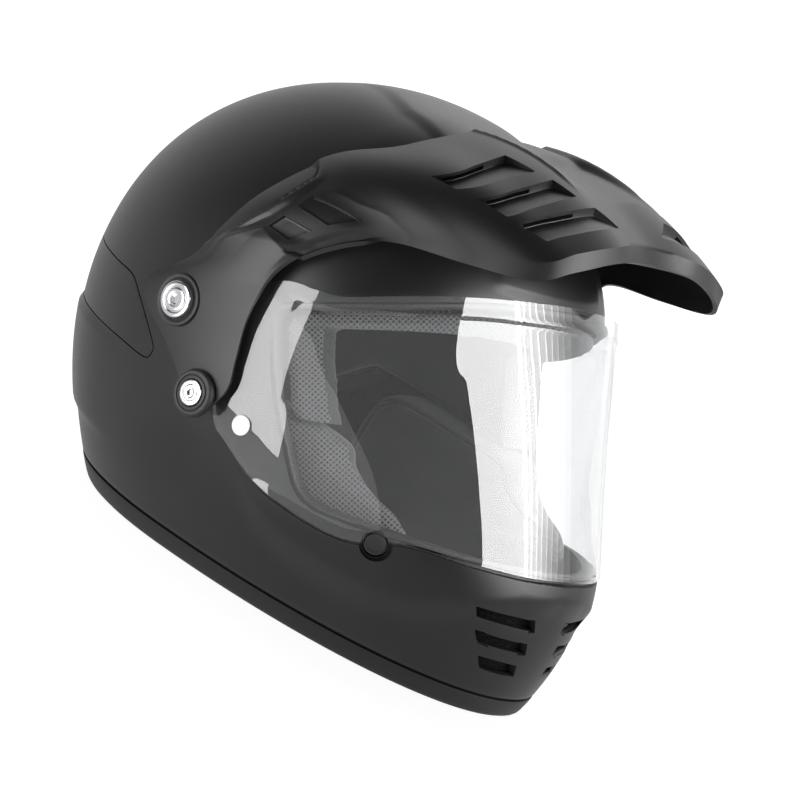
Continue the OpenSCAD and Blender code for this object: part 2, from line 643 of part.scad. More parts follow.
// Strap of each side: down the shell's wall and in under the cheek pad
module at_anchor() translate([half_w(anchor_z, 0), anchor_y, anchor_z]) rotate([0, 90 + anchor_tilt, 0])
    children();
function strap_path(d, end_x) = concat(
    [for (z = [72, 58, 45, 33]) [half_w(gz(z), 0) - d / cos(anchor_tilt), gz(z)]],
    [[half_w(gz(22), 0) - d - 4, gz(20.5)], [half_w(gz(16), 0) - 20, gz(15.5)], [end_x, gz(14)]]);
function side_of(p, i, d) = let (n = len(p) - 1, a = p[max(0, i - 1)], b = p[min(n, i + 1)],
    v = (b - a) / norm(b - a)) p[i] + [v[1], -v[0]] * d;
module ribbon(path, half, w) translate([0, anchor_y + w / 2, 0]) rotate([90, 0, 0]) linear_extrude(w)
    polygon(concat([for (i = [0:len(path) - 1]) side_of(path, i, half)],
        [for (i = [len(path) - 1:-1:0]) side_of(path, i, -half)]));
module strap_channel() {
    ribbon(strap_path(strap_in - 2, 40), strap_wall + 2.5, strap_w + 2);
    translate([half_w(gz(20), 0) - 22, anchor_y - strap_w / 2 - 1, 0]) cube([40, strap_w + 2, gz(24)]);
}
module strap_loop(r, w) translate([ring_x, anchor_y + w / 2, ring_z]) rotate([90, 0, 0])
    cylinder(r = r, h = w, $fn = 48);
module chin_strap_left() color("#3b3c3f") placed() difference() {
    union() {
        ribbon(strap_path(strap_in + strap_wall / 2, ring_x + loop_in + 0.8), strap_wall / 2, strap_w);
        strap_loop(loop_in + strap_wall, strap_w);
    }
    strap_loop(loop_in, strap_w + 2);
    at_anchor() cylinder(r = rivet_r + 0.1, h = 40, center = true, $fn = 48);
}
module chin_strap_right() color("#3b3c3f") placed() on_right() difference() {
    ribbon(strap_path(strap_in + strap_wall / 2, 8), strap_wall / 2, strap_w);
    at_anchor() cylinder(r = rivet_r + 0.1, h = 40, center = true, $fn = 48);
}

plate_back = -strap_in - strap_wall - fit_gap;
module anchor() at_anchor() difference() {
    translate([-7, -9, plate_back - 1.4]) cube([14, 18, 1.4]);
    cylinder(r = rivet_r + 0.1, h = 40, center = true, $fn = 48);
}
module strap_anchors() color("#8d8f92") placed() {
    anchor();
    on_right() anchor();
}
module rivet() at_anchor() {
    translate([0, 0, plate_back - 2]) cylinder(r = rivet_r, h = -plate_back - 0.2, $fn = 48);
    translate([0, 0, plate_back - 3.1]) cylinder(r = 5, h = 1.5, $fn = 48);
}
module strap_rivets() color(steel) placed() {
    rivet();
    on_right() rivet();
}

// Two D-rings in the strap's loop, the narrower one lifted clear of the wider one's bow
module d_ring(half) {
    rotate([0, 0, 90]) rotate_extrude(angle = 180, $fn = 64) translate([half, 0]) circle(ring_wire_r, $fn = 24);
    rotate([90, 0, 0]) cylinder(r = ring_wire_r, h = 2 * half, center = true, $fn = 24);
}
narrow_half = strap_w / 2 + ring_wire_r + 1;
wide_half = narrow_half + 2 * ring_wire_r + 2;
module d_ring_wide() color(steel) placed() translate([ring_x + 2.2, anchor_y, ring_z])
    d_ring(wide_half);
module d_ring_narrow() color(steel) placed() translate([ring_x - 2.3, anchor_y, ring_z])
    rotate([0, 22, 0]) d_ring(narrow_half);

outer_shell();
neck_trim();
rear_panel();
eyeport_seal();
vent_mesh_right();
vent_mesh_left();
foam_liner();
chin_foam();
crown_liner();
cheek_pad_right();
cheek_pad_left();
neck_roll();
peak();
peak_washer_right();
peak_washer_left();
peak_screw_right();
peak_screw_left();
lower_grommet_right();
lower_grommet_left();
lower_screw_right();
lower_screw_left();
insert_nuts();
base_plate_right();
base_plate_left();
base_plate_screws();
face_shield();
hub_ring_right();
hub_ring_left();
lens_pin_right();
lens_pin_left();
lock_housing();
lock_button();
lock_spring();
chin_strap_right();
chin_strap_left();
strap_anchors();
strap_rivets();
d_ring_wide();
d_ring_narrow();
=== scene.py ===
import bpy
import math
from mathutils import Matrix, Vector


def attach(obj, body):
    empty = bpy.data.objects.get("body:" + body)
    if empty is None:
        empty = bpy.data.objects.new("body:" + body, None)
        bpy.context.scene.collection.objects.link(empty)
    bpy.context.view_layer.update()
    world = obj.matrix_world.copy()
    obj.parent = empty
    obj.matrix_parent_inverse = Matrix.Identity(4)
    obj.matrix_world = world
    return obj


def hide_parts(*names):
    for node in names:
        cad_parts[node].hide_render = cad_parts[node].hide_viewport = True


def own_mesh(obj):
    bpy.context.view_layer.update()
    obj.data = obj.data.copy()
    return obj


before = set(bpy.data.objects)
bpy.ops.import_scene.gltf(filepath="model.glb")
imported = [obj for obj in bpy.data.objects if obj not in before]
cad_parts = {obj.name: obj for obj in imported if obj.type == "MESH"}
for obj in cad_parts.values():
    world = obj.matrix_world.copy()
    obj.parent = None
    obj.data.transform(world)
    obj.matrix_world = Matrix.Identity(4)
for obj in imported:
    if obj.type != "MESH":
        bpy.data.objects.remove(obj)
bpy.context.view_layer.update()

# Camera. The helmet is seen from its right front, from a little above, with the picture rolled as if the
# helmet lay tipped back. A long lens keeps its far side almost as large as its near side.
camera_data = bpy.data.cameras.new("camera")
camera = bpy.data.objects.new("camera", camera_data)
bpy.context.scene.collection.objects.link(camera)
bpy.context.scene.camera = camera
picture_right = Vector((0.57570667, -0.70437653, 0.4152295))
picture_up = Vector((-0.09221348, 0.44865724, 0.88893383))
toward_camera = Vector((-0.81243984, -0.55005489, 0.19334196))
camera_data.sensor_width = 36
camera_data.lens = 197.19
camera_data.shift_x = 0.0292
camera_data.shift_y = -0.0552
camera_data.clip_end = 20
looked_at = Vector((0, 0.0005, 0.125))
camera.matrix_world = (Matrix.Translation(looked_at + toward_camera * 2.29088)
    @ Matrix((picture_right, picture_up, toward_camera)).transposed().to_4x4())

# Outer shell. A moulded fibre composite shell, 4 mm thick, sprayed with soft-touch matte black paint. It
# has a raised band over the crown, a belt round the back and a chin bar that rises to meet the shield.


def deselect():
    for other in bpy.context.selected_objects:
        other.select_set(False)


def take(piece):
    deselect()
    bpy.context.view_layer.objects.active = piece
    piece.select_set(True)


def finish_with(piece, kind, **settings):
    take(piece)
    modifier = piece.modifiers.new(kind.lower(), kind)
    for key, value in settings.items():
        setattr(modifier, key, value)
    bpy.ops.object.modifier_apply(modifier=modifier.name)


def smooth(piece, angle):
    take(piece)
    bpy.ops.object.shade_smooth_by_angle(angle=math.radians(angle))


def ease(piece, width, segments, angle=50):
    finish_with(piece, "BEVEL", width=width, segments=segments, limit_method="ANGLE",
        angle_limit=math.radians(angle))


outward = (bpy.ops.mesh.normals_make_consistent, {"inside": False})


def edit_whole(*operations):
    bpy.ops.object.mode_set(mode="EDIT")
    bpy.ops.mesh.select_all(action="SELECT")
    for operation, settings in operations:
        operation(**settings)
    bpy.ops.object.mode_set(mode="OBJECT")


def formed(name, across, along, place, closed=True):
    deselect()
    bpy.ops.mesh.primitive_grid_add(x_subdivisions=across, y_subdivisions=along, size=2)
    piece = bpy.context.object
    piece.name = name
    for vertex in piece.data.vertices:
        vertex.co = place((vertex.co.x + 1) / 2, (vertex.co.y + 1) / 2)
    edit_whole((bpy.ops.mesh.remove_doubles, {"threshold": 0.000002}), *([outward] if closed else []))
    return piece


def solid(name, across, along, place):
    piece = formed(name, across, along, place, closed=False)
    edit_whole((bpy.ops.mesh.fill_holes, {"sides": 0}), outward)
    return piece


def carve(piece, tool, operation="DIFFERENCE"):
    finish_with(piece, "BOOLEAN", operation=operation, solver="MANIFOLD", object=tool)
    bpy.data.objects.remove(tool)


def block(name, corners):
    deselect()
    bpy.ops.mesh.primitive_cube_add(size=2)
    piece = bpy.context.object
    piece.name = name
    for vertex in piece.data.vertices:
        x, y, z = (round(c) for c in vertex.co)
        turn = {(-1, -1): 0, (1, -1): 1, (1, 1): 2, (-1, 1): 3}[x, y]
        vertex.co = corners[turn if z < 0 else turn + 4]
    edit_whole(outward)
    return piece


# Main sizes of the shell in millimetres: heights above the plane that it stands on, reaches from the
# crown's axis. Seen from above it is a superellipse, a little squarer behind than in front. The cutters
# that pass right through it run as far as beyond on both sides.
crown_y, shell_top, shell_foot, wall = 10.5, 259, 4, 4
side_level, side_reach, side_base = 130, 122.7, 88
rear_level, rear_most, rear_base = 112, 156.8, 109
front_level, front_most, front_base = 50, 179.6, 171.3
front_power, rear_power = 2.1, 2.17
beyond = 200


def at(x, y, z):
    return Vector((x, y + crown_y, z)) / 1000


def step(low, high, value):
    t = max(0.0, min(1.0, (value - low) / (high - low)))
    return t * t * (3 - 2 * t)


def along_table(table, value):
    if value <= table[0][0]:
        return table[0][1]
    for (a, p), (b, q) in zip(table, table[1:]):
        if value <= b:
            return p + (q - p) * (value - a) / (b - a)
    return table[-1][1]


def profile(z, top, widest, reach, base, power):
    if z > widest:
        return reach * max(0.0, 1 - min(1.0, (z - widest) / (top - widest)) ** power) ** (1 / power)
    return reach - (reach - base) * ((widest - z) / widest) ** 2


def half_width(z, off=0.0):
    return profile(z, shell_top + off, side_level, side_reach + off, side_base + off, 2.19)


def rear_reach(z, off=0.0):
    return profile(z, shell_top + off, rear_level, rear_most + off, rear_base + off, 2.07)


def front_reach(z, off=0.0):
    face_dip = 26 * math.exp(-((z - 139) / 58) ** 2)
    return profile(z, shell_top + off, front_level, front_most + off, front_base + off, 1.68) - face_dip


def plan(y, z, off=0.0):
    return (front_power, front_reach(z, off)) if y < 0 else (rear_power, rear_reach(z, off))


def round_shell(angle, z, off=0.0):
    c, s = math.cos(math.radians(angle)), math.sin(math.radians(angle))
    n, reach = plan(s, z, off)
    k = (abs(c) ** n + abs(s) ** n) ** (-1 / n)
    return Vector((half_width(z, off) * c * k, reach * s * k, z))


def on_side(y, z, off=0.0):
    n, reach = plan(y, z, off)
    return Vector((half_width(z, off) * max(0.0, 1 - min(1.0, abs(y) / reach) ** n) ** (1 / n), y, z))


def on_front(x, z, off=0.0):
    n, reach = plan(-1, z, off)
    return Vector((x, -reach * max(0.0, 1 - (abs(x) / half_width(z, off)) ** n) ** (1 / n), z))


# The chin bar's crease, where it starts to rise toward the shield, by the angle from the helmet's side:
# its height, how far it rises and over what height. Then the crown band's half width by y.
chin_crease = [(-90, 68), (-76, 66), (-63, 58), (-52, 50), (-42, 45.5), (-33, 46), (-25, 49.6), (-18, 56),
    (-11, 72), (-6, 80)]
chin_rise = [(-90, 4.4), (-20, 4.2), (-12, 2), (-6, 0)]
chin_slope = [(-90, 11), (-63, 14), (-42, 20), (-11, 24)]
crown_band = [(-180, 46), (-18, 44.6), (6, 43.4), (20, 36.6), (37, 27), (56, 20), (70, 16)]


def shell_rise(angle, p):
    folded = math.degrees(math.asin(max(-1, min(1, math.sin(math.radians(angle))))))
    chin = belt = band = 0.0
    if folded < -6 and p.z < 150:
        crease, slope = along_table(chin_crease, folded), along_table(chin_slope, folded)
        t = max(0.0, min(1.0, 1 - (crease - p.z) / slope))
        chin = along_table(chin_rise, folded) * t * t * (2 - t)
    if folded > 20:
        belt = 2.0 * step(22, 42, folded) * step(30, 37, p.z) * (1 - step(81, 86, p.z))
    if p.z > 200:
        width = along_table(crown_band, p.y)
        band = band_rise * (1 - step(width - 3, width + 7, abs(p.x))) * (1 - step(30, 78, p.y))
    return chin + belt + band


# Rows of the skin as (height, how far out): down the inside, round the lower edge and up the outside
band_rise, trim_top = 1.2, 12.3
inner_rise, outer_rise = shell_top - wall - side_level, shell_top - side_level
shell_rows = [(side_level + inner_rise * math.cos(math.pi / 2 * i / 36), -wall) for i in range(36)]
shell_rows += [(side_level - (side_level - shell_foot) * i / 24, -wall) for i in range(25)]
shell_rows += [(shell_foot, -1.5), (7.5, -1.5), (11.4, -1.5), (11.5, -0.7), (11.8, -0.25), (trim_top, 0)]
shell_rows += [(trim_top + (side_level - trim_top) * i / 56, 0) for i in range(1, 57)]
shell_rows += [(side_level + outer_rise * math.sin(math.pi / 2 * i / 90), 0) for i in range(1, 91)]


def shell_normal(angle, z):
    if z > shell_top - 0.5:
        return Vector((0, 0, 1))
    around = round_shell(angle + 0.4, z) - round_shell(angle - 0.4, z)
    upward = round_shell(angle, z + 0.25) - round_shell(angle, z - 0.25)
    return around.cross(upward).normalized()


def shell_skin(u, v):
    z, inset = shell_rows[round(v * (len(shell_rows) - 1))]
    if z > shell_top - 0.001:
        return at(0, 0, shell_top + band_rise)
    if inset == -wall and z > shell_top - wall - 0.001:
        return at(0, 0, shell_top - wall)
    if inset < 0:
        return at(*round_shell(360 * u, z, inset))
    p = round_shell(360 * u, z)
    return at(*(p + shell_normal(360 * u, z) * shell_rise(360 * u, p)))


def dome(name, off, foot, columns=96, rows=48):
    def place(u, v):
        if v < 0.4:
            return at(*round_shell(360 * u, foot + (side_level - foot) * v / 0.4, off))
        arch = math.sin(math.pi / 2 * (v - 0.4) / 0.6)
        return at(*round_shell(360 * u, side_level + (outer_rise - 0.001 + off) * arch, off))
    return solid(name, columns, rows, place)


def offset_line(outline, grow):
    count = len(outline)
    line = [Vector(p) for p in outline]
    area = sum(a.x * b.y - b.x * a.y for a, b in zip(line, line[1:] + line[:1]))
    out = []
    for i in range(count):
        before, here, after = line[i - 1], line[i], line[(i + 1) % count]
        side = ((here - before).normalized() + (after - here).normalized()).normalized()
        moved = here + Vector((side.y, -side.x)) * (grow if area > 0 else -grow)
        near = 1e9
        for a, b in zip(line, line[1:] + line[:1]):
            t = max(0.0, min(1.0, (moved - a).dot(b - a) / (b - a).length_squared))
            near = min(near, (moved - a.lerp(b, t)).length)
        if near > abs(grow) * 0.97:
            out.append(moved)
    return out


def prism(name, outline, x0, x1, grow=0.0):
    line = offset_line(outline, grow) if grow else outline

    def place(u, v):
        y, z = line[round(u * len(line)) % len(line)]
        return at(x0 + (x1 - x0) * v, y, z)
    return solid(name, len(line), 1, place)


def past_end(inner, end):
    return tuple(2 * e - i for i, e in zip(inner, end))


def between(a, b, c, d, t):
    return 0.5 * (2 * b + (c - a) * t + (2 * a - 5 * b + 4 * c - d) * t * t
        + (3 * b - a - 3 * c + d) * t ** 3)


def through(points, steps, loop=False):
    count = len(points)
    out = []
    for i in range(count if loop else count - 1):
        b, c = points[i], points[(i + 1) % count]
        a = points[i - 1] if i > 0 or loop else past_end(c, b)
        d = points[(i + 2) % count] if i < count - 2 or loop else past_end(b, c)
        out += [tuple(between(*four, j / steps) for four in zip(a, b, c, d)) for j in range(steps)]
    if not loop:
        out.append(tuple(points[-1]))
    return out


def rod(name, y, z, radius, x0, x1, vertices=64):
    deselect()
    bpy.ops.mesh.primitive_cylinder_add(vertices=vertices, radius=radius / 1000, depth=abs(x1 - x0) / 1000,
        location=at((x0 + x1) / 2, y, z), rotation=(0, math.pi / 2, 0))
    piece = bpy.context.object
    piece.name = name
    bpy.ops.object.transform_apply(location=True, rotation=True, scale=True)
    return piece


eyeport_line = [(-240, 60), (-168, 77)] + through([(-168, 77), (-131, 72), (-100, 67), (-82, 66), (-71, 71),
    (-61, 84), (-47, 103), (-36.5, 120), (-29, 134), (-25.5, 143), (-28.5, 151.5), (-42, 159), (-73, 177),
    (-97, 193.5), (-103, 197)], 4)[1:] + [(-240, 215)]
panel_line = through([(37, 91), (38, 95), (49, 104), (64, 114), (74, 118.5), (90, 118.5)], 3) + [(180, 117),
    (180, 85)] + through([(63, 87), (41, 87), (37, 91)], 3)[:-1]

# Edges of the shield, from its left ear to the middle, and how far it swells between them
shield_off = 5.7
shield_edges = [((125.2, 4, 146), (125.2, -9, 104), 0)]
for where, rows in ((on_side, (((-26, 162), (-20.5, 81), 3.2), ((-40, 165), (-30, 75), 4),
        ((-54, 168.5), (-46, 67), 5), ((-73, 180), (-66, 62), 7.6), ((-87, 189), (-104, 61), 7.8))),
        (on_front, (((58, 195), (83, 73), 3), ((38, 198.5), (58, 76), 1), ((18, 200.5), (29, 77.5), 0.5),
        ((0, 201), (0, 78.5), 0.5)))):
    for high, low, swell in rows:
        shield_edges.append((tuple(where(*high, shield_off)), tuple(where(*low, shield_off)), swell))


def both_sides(half, sign=-1):
    return list(half) + [(sign * p[0], *p[1:]) for p in reversed(half[:-1])]


shield_upper = through(both_sides([e[0] for e in shield_edges]), 16)
shield_lower = through(both_sides([e[1] for e in shield_edges]), 16)
shield_swell = through(both_sides([(e[2],) for e in shield_edges], 1), 16)


def shield_out(p):
    return Vector((p.x, (p.y + 20) * 0.8, 0)).normalized()


def shield_at(u, t, off=0.0):
    i = min(len(shield_lower) - 1, max(0, u * (len(shield_lower) - 1)))
    j = min(int(i), len(shield_lower) - 2)
    f = i - j
    low = Vector(shield_lower[j]).lerp(Vector(shield_lower[j + 1]), f)
    high = Vector(shield_upper[j]).lerp(Vector(shield_upper[j + 1]), f)
    swell = shield_swell[j][0] * (1 - f) + shield_swell[j + 1][0] * f
    p = low.lerp(high, t)
    bulge = 4 * t * (1 - t) * swell if 0 < t < 1 else 0
    return p + shield_out(p) * (bulge + off)


shell = formed("shell", 288, len(shell_rows) - 1, shell_skin)
carve(shell, prism("eyeport_opening", eyeport_line, -beyond, beyond))


# Seat that the shield closes into, cut 0.8 mm wider than the shield above it and 1.4 mm below
def seat_block(u, v):
    ring = [(-0.008, -3.4), (-0.008, 14), (1.008, 14), (1.008, -3.4), (-0.008, -3.4)]
    t, off = ring[round(v * 4)]
    return at(*shield_at(u, t, off)) + Vector((0, 0, -0.0014 if t < 0 else 0.0008))


carve(shell, solid("shield_seat", 144, 4, seat_block))
panel_pocket = prism("panel_pocket", panel_line, -beyond, beyond, 0.7)
carve(panel_pocket, dome("panel_floor", -2.1, 20))
carve(shell, panel_pocket)


def on_circle(y, z, radius, degrees):
    return y + radius * math.cos(math.radians(degrees)), z + radius * math.sin(math.radians(degrees))


# Axis of the shield's hinge and of the peak's two screws on each side, as (y, z). The hinge plate is a
# disc with its lower rear side cut off in line with the peak's arm.
hinge, upper_screw, lower_screw = (17, 121), (24, 126), (-9.5, 90)
plate_screws = [on_circle(*hinge, 21, degrees) for degrees in (75, 215)]
plate_back, plate_line = 120.5, []
for i in range(72):
    y, z = on_circle(0, 0, 27, 5 * i)
    past = max(0.0, 0.482 * y - 0.877 * z - 12.5)
    plate_line.append((hinge[0] + y - 0.482 * past, hinge[1] + z + 0.877 * past))

# Each of the three slots in a side of the chin is cut straight back, with a wider mouth in the outer skin
for side in (-1, 1):
    carve(shell, prism("hinge_pocket", plate_line, side * plate_back, side * 140, 0.3))
    carve(shell, rod("upper_screw_hole", *upper_screw, 5.3, side * 90, side * 140, 32))
    carve(shell, rod("lower_screw_hole", *lower_screw, 4.3, side * 90, side * 140, 32))
    for i in range(3):
        level, width = 29 + 12.5 * i, 24.5 + 7.6 * i
        face = [(12, -2.75), (8 + width, -2.75), (12 + width, 2.75), (14, 2.75)]
        mouth = [(11.6, -3.9), (9.5 + width, -3.9), (13.5 + width, 3.1), (13.8, 3.1)]
        slot = block("vent_cutter", [at(side * x, y, level + h) for y in (-130, -200) for x, h in face])
        ease(slot, 0.0009, 3, 30)
        carve(shell, slot)
        carve(shell, block("vent_mouth", [at(*on_front(side * x, level + h, off))
            for off, ring in ((-1.2, face), (1.2, mouth)) for x, h in ring]))

lock_point = on_side(-116, 65)
lock_point.x = -lock_point.x
lock_out = Vector((-0.819152, -0.573576, 0))


def drum(name, radius, low, high, radius_top=None):
    deselect()
    bpy.ops.mesh.primitive_cone_add(vertices=64, radius1=radius / 1000,
        radius2=(radius_top or radius) / 1000, depth=(high - low) / 1000)
    piece = bpy.context.object
    piece.name = name
    piece.matrix_world = (Matrix.Translation(at(*(lock_point + lock_out * (low + high) / 2)))
        @ lock_out.to_track_quat("Z", "Y").to_matrix().to_4x4())
    bpy.ops.object.transform_apply(location=True, rotation=True, scale=True)
    return piece


carve(shell, drum("lock_bore", 7.1, -20, 10))
carve(shell, drum("lock_recess", 7.6, 0.6, 12, radius_top=11))
smooth(shell, 30)


def linear(hex_colour):
    out = []
    for i in (1, 3, 5):
        c = int(hex_colour[i:i + 2], 16) / 255
        out.append(c / 12.92 if c <= 0.04045 else ((c + 0.055) / 1.055) ** 2.4)
    return (*out, 1)


def add(tree, kind, sockets=(), **settings):
    node = tree.nodes.new(kind)
    for key, value in settings.items():
        setattr(node, key, value)
    for name, value in dict(sockets).items():
        if isinstance(value, tuple) and len(value) == 2 and isinstance(value[0], bpy.types.Node):
            tree.links.new(value[0].outputs[value[1]], node.inputs[name])
        else:
            node.inputs[name].default_value = value
    return node


def finish(name):
    material = bpy.data.materials.new(name)
    material.use_nodes = True
    material.node_tree.nodes.clear()
    return material, material.node_tree


def wear(piece, *materials):
    piece.data.materials.clear()
    for material in materials:
        piece.data.materials.append(material)


def noise(tree, scale, detail=2):
    place = add(tree, "ShaderNodeTexCoord")
    grain = add(tree, "ShaderNodeTexNoise", {"Vector": (place, "Object"), "Scale": scale, "Detail": detail})
    return grain, "Fac"


def spread(tree, source, low, high):
    return add(tree, "ShaderNodeMapRange", {"Value": source, "To Min": low, "To Max": high}), "Result"


def tones(tree, source, first, second, start=0, end=1):
    ramp = add(tree, "ShaderNodeValToRGB", {"Fac": source})
    for element, colour, position in zip(ramp.color_ramp.elements, (first, second), (start, end)):
        element.color, element.position = linear(colour), position
    return ramp, "Color"


def coat(tree, sockets, height=None, strength=0, depth=0.0001, invert=False):
    skin = add(tree, "ShaderNodeBsdfPrincipled", sockets)
    if height:
        bump = add(tree, "ShaderNodeBump", {"Height": height, "Strength": strength, "Distance": depth},
            invert=invert)
        tree.links.new(bump.outputs["Normal"], skin.inputs["Normal"])
    add(tree, "ShaderNodeOutputMaterial", {"Surface": (skin, "BSDF")})


# Soft-touch matte black paint: an even, fine grain of matting powder, a little lighter where it is rubbed
matte_black, tree = finish("matte black soft-touch paint")
grain = noise(tree, 1400)
coat(tree, {"Base Color": tones(tree, noise(tree, 18, 3), "#282828", "#303030", 0.3, 0.7),
    "Roughness": spread(tree, grain, 0.36, 0.48), "IOR": 1.45, "Specular IOR Level": 0.35}, grain, 0.12)
wear(shell, matte_black)
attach(shell, "helmet")
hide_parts("outer_shell")

# Neck trim. A black rubber U-section gasket pressed over the shell's lower edge. Its rounded foot is what
# the helmet stands on, and a dark gap line is left between its lip and the painted shell.

# Black moulded rubber: dull, with a faint skin from the mould
black_rubber, tree = finish("black moulded rubber")
grain = noise(tree, 700, 3)
coat(tree, {"Base Color": linear("#1b1b1d"), "Roughness": spread(tree, grain, 0.5, 0.66), "IOR": 1.5,
    "Specular IOR Level": 0.4}, grain, 0.15)

# Section of the trim as (how far out, height)
trim_section = [(-1.45, 3.9), (-1.45, 10.3), (-1.0, 10.5), (-0.3, 10.5), (0.15, 10.3), (0.3, 9.9),
    (0.35, 7), (0.3, 3), (0.1, 1.4), (-0.4, 0.5), (-1.2, 0), (-5, 0), (-5.8, 0.4), (-6.2, 1.2), (-6.25, 4),
    (-6.2, 7.8), (-5.9, 8.7), (-5.2, 9), (-4.3, 9), (-4.1, 8.8), (-4.1, 3.9), (-1.45, 3.9)]


def trim_skin(u, v):
    off, z = trim_section[round(v * (len(trim_section) - 1))]
    return at(*round_shell(360 * u, z, off))


trim = formed("neck_trim_gasket", 288, len(trim_section) - 1, trim_skin)
smooth(trim, 40)
wear(trim, black_rubber)
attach(trim, "helmet")
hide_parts("neck_trim")

# Rear panel. A 2 mm moulded cover glued into a recess round the back of the shell, painted with it, with
# softly rounded edges and an even gap line all round.
panel = prism("rear_panel_cover", panel_line, -beyond, beyond)
carve(panel, dome("panel_outside", 0, 20, 216, 110), "INTERSECT")
carve(panel, dome("panel_inside", -2, 20, 144, 72))
ease(panel, 0.0005, 3)
smooth(panel, 40)
wear(panel, matte_black)
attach(panel, "helmet")
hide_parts("rear_panel")

# Eyeport seal. A black rubber extrusion bonded round the edge of the eyeport, with a rounded bead that
# the closed shield rests against.


def line_height(table, y):
    for (a, p), (b, q) in zip(table, table[1:]):
        if min(a, b) <= y <= max(a, b):
            return p + (q - p) * (y - a) / (b - a)
    return table[0][1] if abs(y - table[0][0]) < abs(y - table[-1][0]) else table[-1][1]


def front_run(table, x_end):
    out = []
    for i in range(60):
        x, z = x_end * i / 60, table[0][1]
        for _ in range(40):
            z = 0.5 * z + 0.5 * line_height(table, on_front(x, z).y)
        out.append(on_front(x, z))
    return out


# The seal's path runs across the front at the opening's lower edge, round each side and back above
edge = eyeport_line[1:-1]
corner = next(i for i, p in enumerate(edge) if p[0] == -131)
over = next(i for i, p in enumerate(edge) if p[0] == -97)
low_run = front_run(edge[:corner + 4], on_side(*edge[corner]).x)
high_run = front_run(list(reversed(edge[over - 4:])), on_side(*edge[over]).x)
half_loop = low_run + [on_side(*p) for p in edge[corner:over + 1]] + list(reversed(high_run))
seal_loop = half_loop + [Vector((-p.x, p.y, p.z)) for p in reversed(half_loop[1:-1])]


def evened(points, count):
    ring = points + [points[0]]
    run = [0.0]
    for a, b in zip(ring, ring[1:]):
        run.append(run[-1] + (b - a).length)
    out, j = [], 0
    for i in range(count):
        want = run[-1] * i / count
        while j < len(run) - 2 and run[j + 1] < want:
            j += 1
        part = (want - run[j]) / max(1e-9, run[j + 1] - run[j])
        out.append(ring[j].lerp(ring[j + 1], min(1.0, part)))
    return out


def shell_frame(p):
    angle = math.degrees(math.atan2(p.y / plan(p.y, p.z)[1], p.x / half_width(p.z)))

    def miss(turn):
        return (round_shell(angle + turn, p.z) - p).length
    for span in (8, 4, 2, 1, 0.5, 0.25, 0.1, 0.05):
        while best := min((-span, 0, span), key=miss):
            angle += best
    return angle, shell_normal(angle, p.z)


seal_steps = 420
seal_loop = evened(seal_loop, seal_steps)
seal_frames = []
for i, p in enumerate(seal_loop):
    angle, out = shell_frame(p)
    along = (seal_loop[(i + 1) % seal_steps] - seal_loop[i - 1]).normalized()
    inward = out.cross(along).normalized()
    seal_frames.append((p, inward, out, min(1.7, shell_rise(angle, p))))
middle = sum(seal_loop, Vector()) / seal_steps
facing = 1 if sum(f[1].dot(middle - f[0]) for f in seal_frames) > 0 else -1
seal_section = [(0.3, -4.8), (0.3, 0.3), (0.45, 0.85), (0.9, 1.15), (1.6, 1.2), (2.4, 1.15), (2.95, 0.8),
    (3.2, 0.2), (3.3, -0.8), (3.3, -4.8), (0.3, -4.8)]


def seal_skin(u, v):
    p, inward, out, lift = seal_frames[round(u * seal_steps) % seal_steps]
    b, n = seal_section[round(v * (len(seal_section) - 1))]
    return at(*(p + inward * facing * b + out * (n + (lift if n > 0 else 0))))


seal = formed("eyeport_seal_lip", seal_steps, len(seal_section) - 1, seal_skin)
smooth(seal, 40)
wear(seal, black_rubber)
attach(seal, "helmet")
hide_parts("eyeport_seal")

# Vent meshes. Two panels of black painted steel wire mesh behind the chin's slots, 0.5 mm wire woven at
# about 2 mm, each held by its rim between the shell and the chin foam.
painted_wire, tree = finish("black painted steel wire")
coat(tree, {"Base Color": linear("#3a3a3c"), "Roughness": spread(tree, noise(tree, 1200), 0.35, 0.5),
    "Metallic": 0.3})
sides = ((-1, "right"), (1, "left"))
for side, name in sides:
    def mesh_skin(u, v):
        return at(*on_front(side * (9 + 46 * u), 24.5 + 33 * v, -4.9))
    mesh = formed("vent_mesh_wires_" + name, 23, 17, mesh_skin, closed=False)
    edit_whole((bpy.ops.mesh.poke, {}), (bpy.ops.mesh.tris_convert_to_quads,
        {"face_threshold": math.radians(180), "shape_threshold": math.radians(180)}))
    finish_with(mesh, "WIREFRAME", thickness=0.00055, use_even_offset=False)
    smooth(mesh, 60)
    wear(mesh, painted_wire)
    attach(mesh, "helmet")
    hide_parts("vent_mesh_" + name)

# Foam liner and chin foam. Expanded polystyrene, 25 mm and 15 mm thick, moulded to the shell's inside and
# glued in; the beads show as a fine pebbled skin wherever the padding leaves it bare.
foam_grain, tree = finish("dark expanded polystyrene beads")
beads = add(tree, "ShaderNodeTexVoronoi", {"Vector": (add(tree, "ShaderNodeTexCoord"), "Object"),
    "Scale": 320}), "Distance"
coat(tree, {"Base Color": tones(tree, beads, "#303032", "#222224"), "Roughness": 0.8}, beads, 0.4, 0.0004,
    True)
foam_cut = [(-250, -20), (190, -20), (190, 32), (104, 34), (44, 99), (-32, 101), (-35, 119), (-27.5, 134),
    (-24, 143), (-27, 153), (-42, 161.5), (-73, 179.5), (-97, 196), (-103, 199.5), (-250, 219)]
foam = dome("foam_liner_shape", -4.6, 30, 144, 64)
carve(foam, dome("foam_hollow", -29.6, 28, 144, 64))
carve(foam, prism("foam_front", foam_cut, -beyond, beyond))
for side in (-1, 1):
    carve(foam, rod("nut_room", *upper_screw, 11.5, side * 108, side * 123, 32))
    carve(foam, rod("nut_room", *lower_screw, 10.5, side * 106, side * 123, 32))
    for screw in plate_screws:
        carve(foam, rod("screw_room", *screw, 3.4, side * 108, side * 123, 24))
smooth(foam, 35)
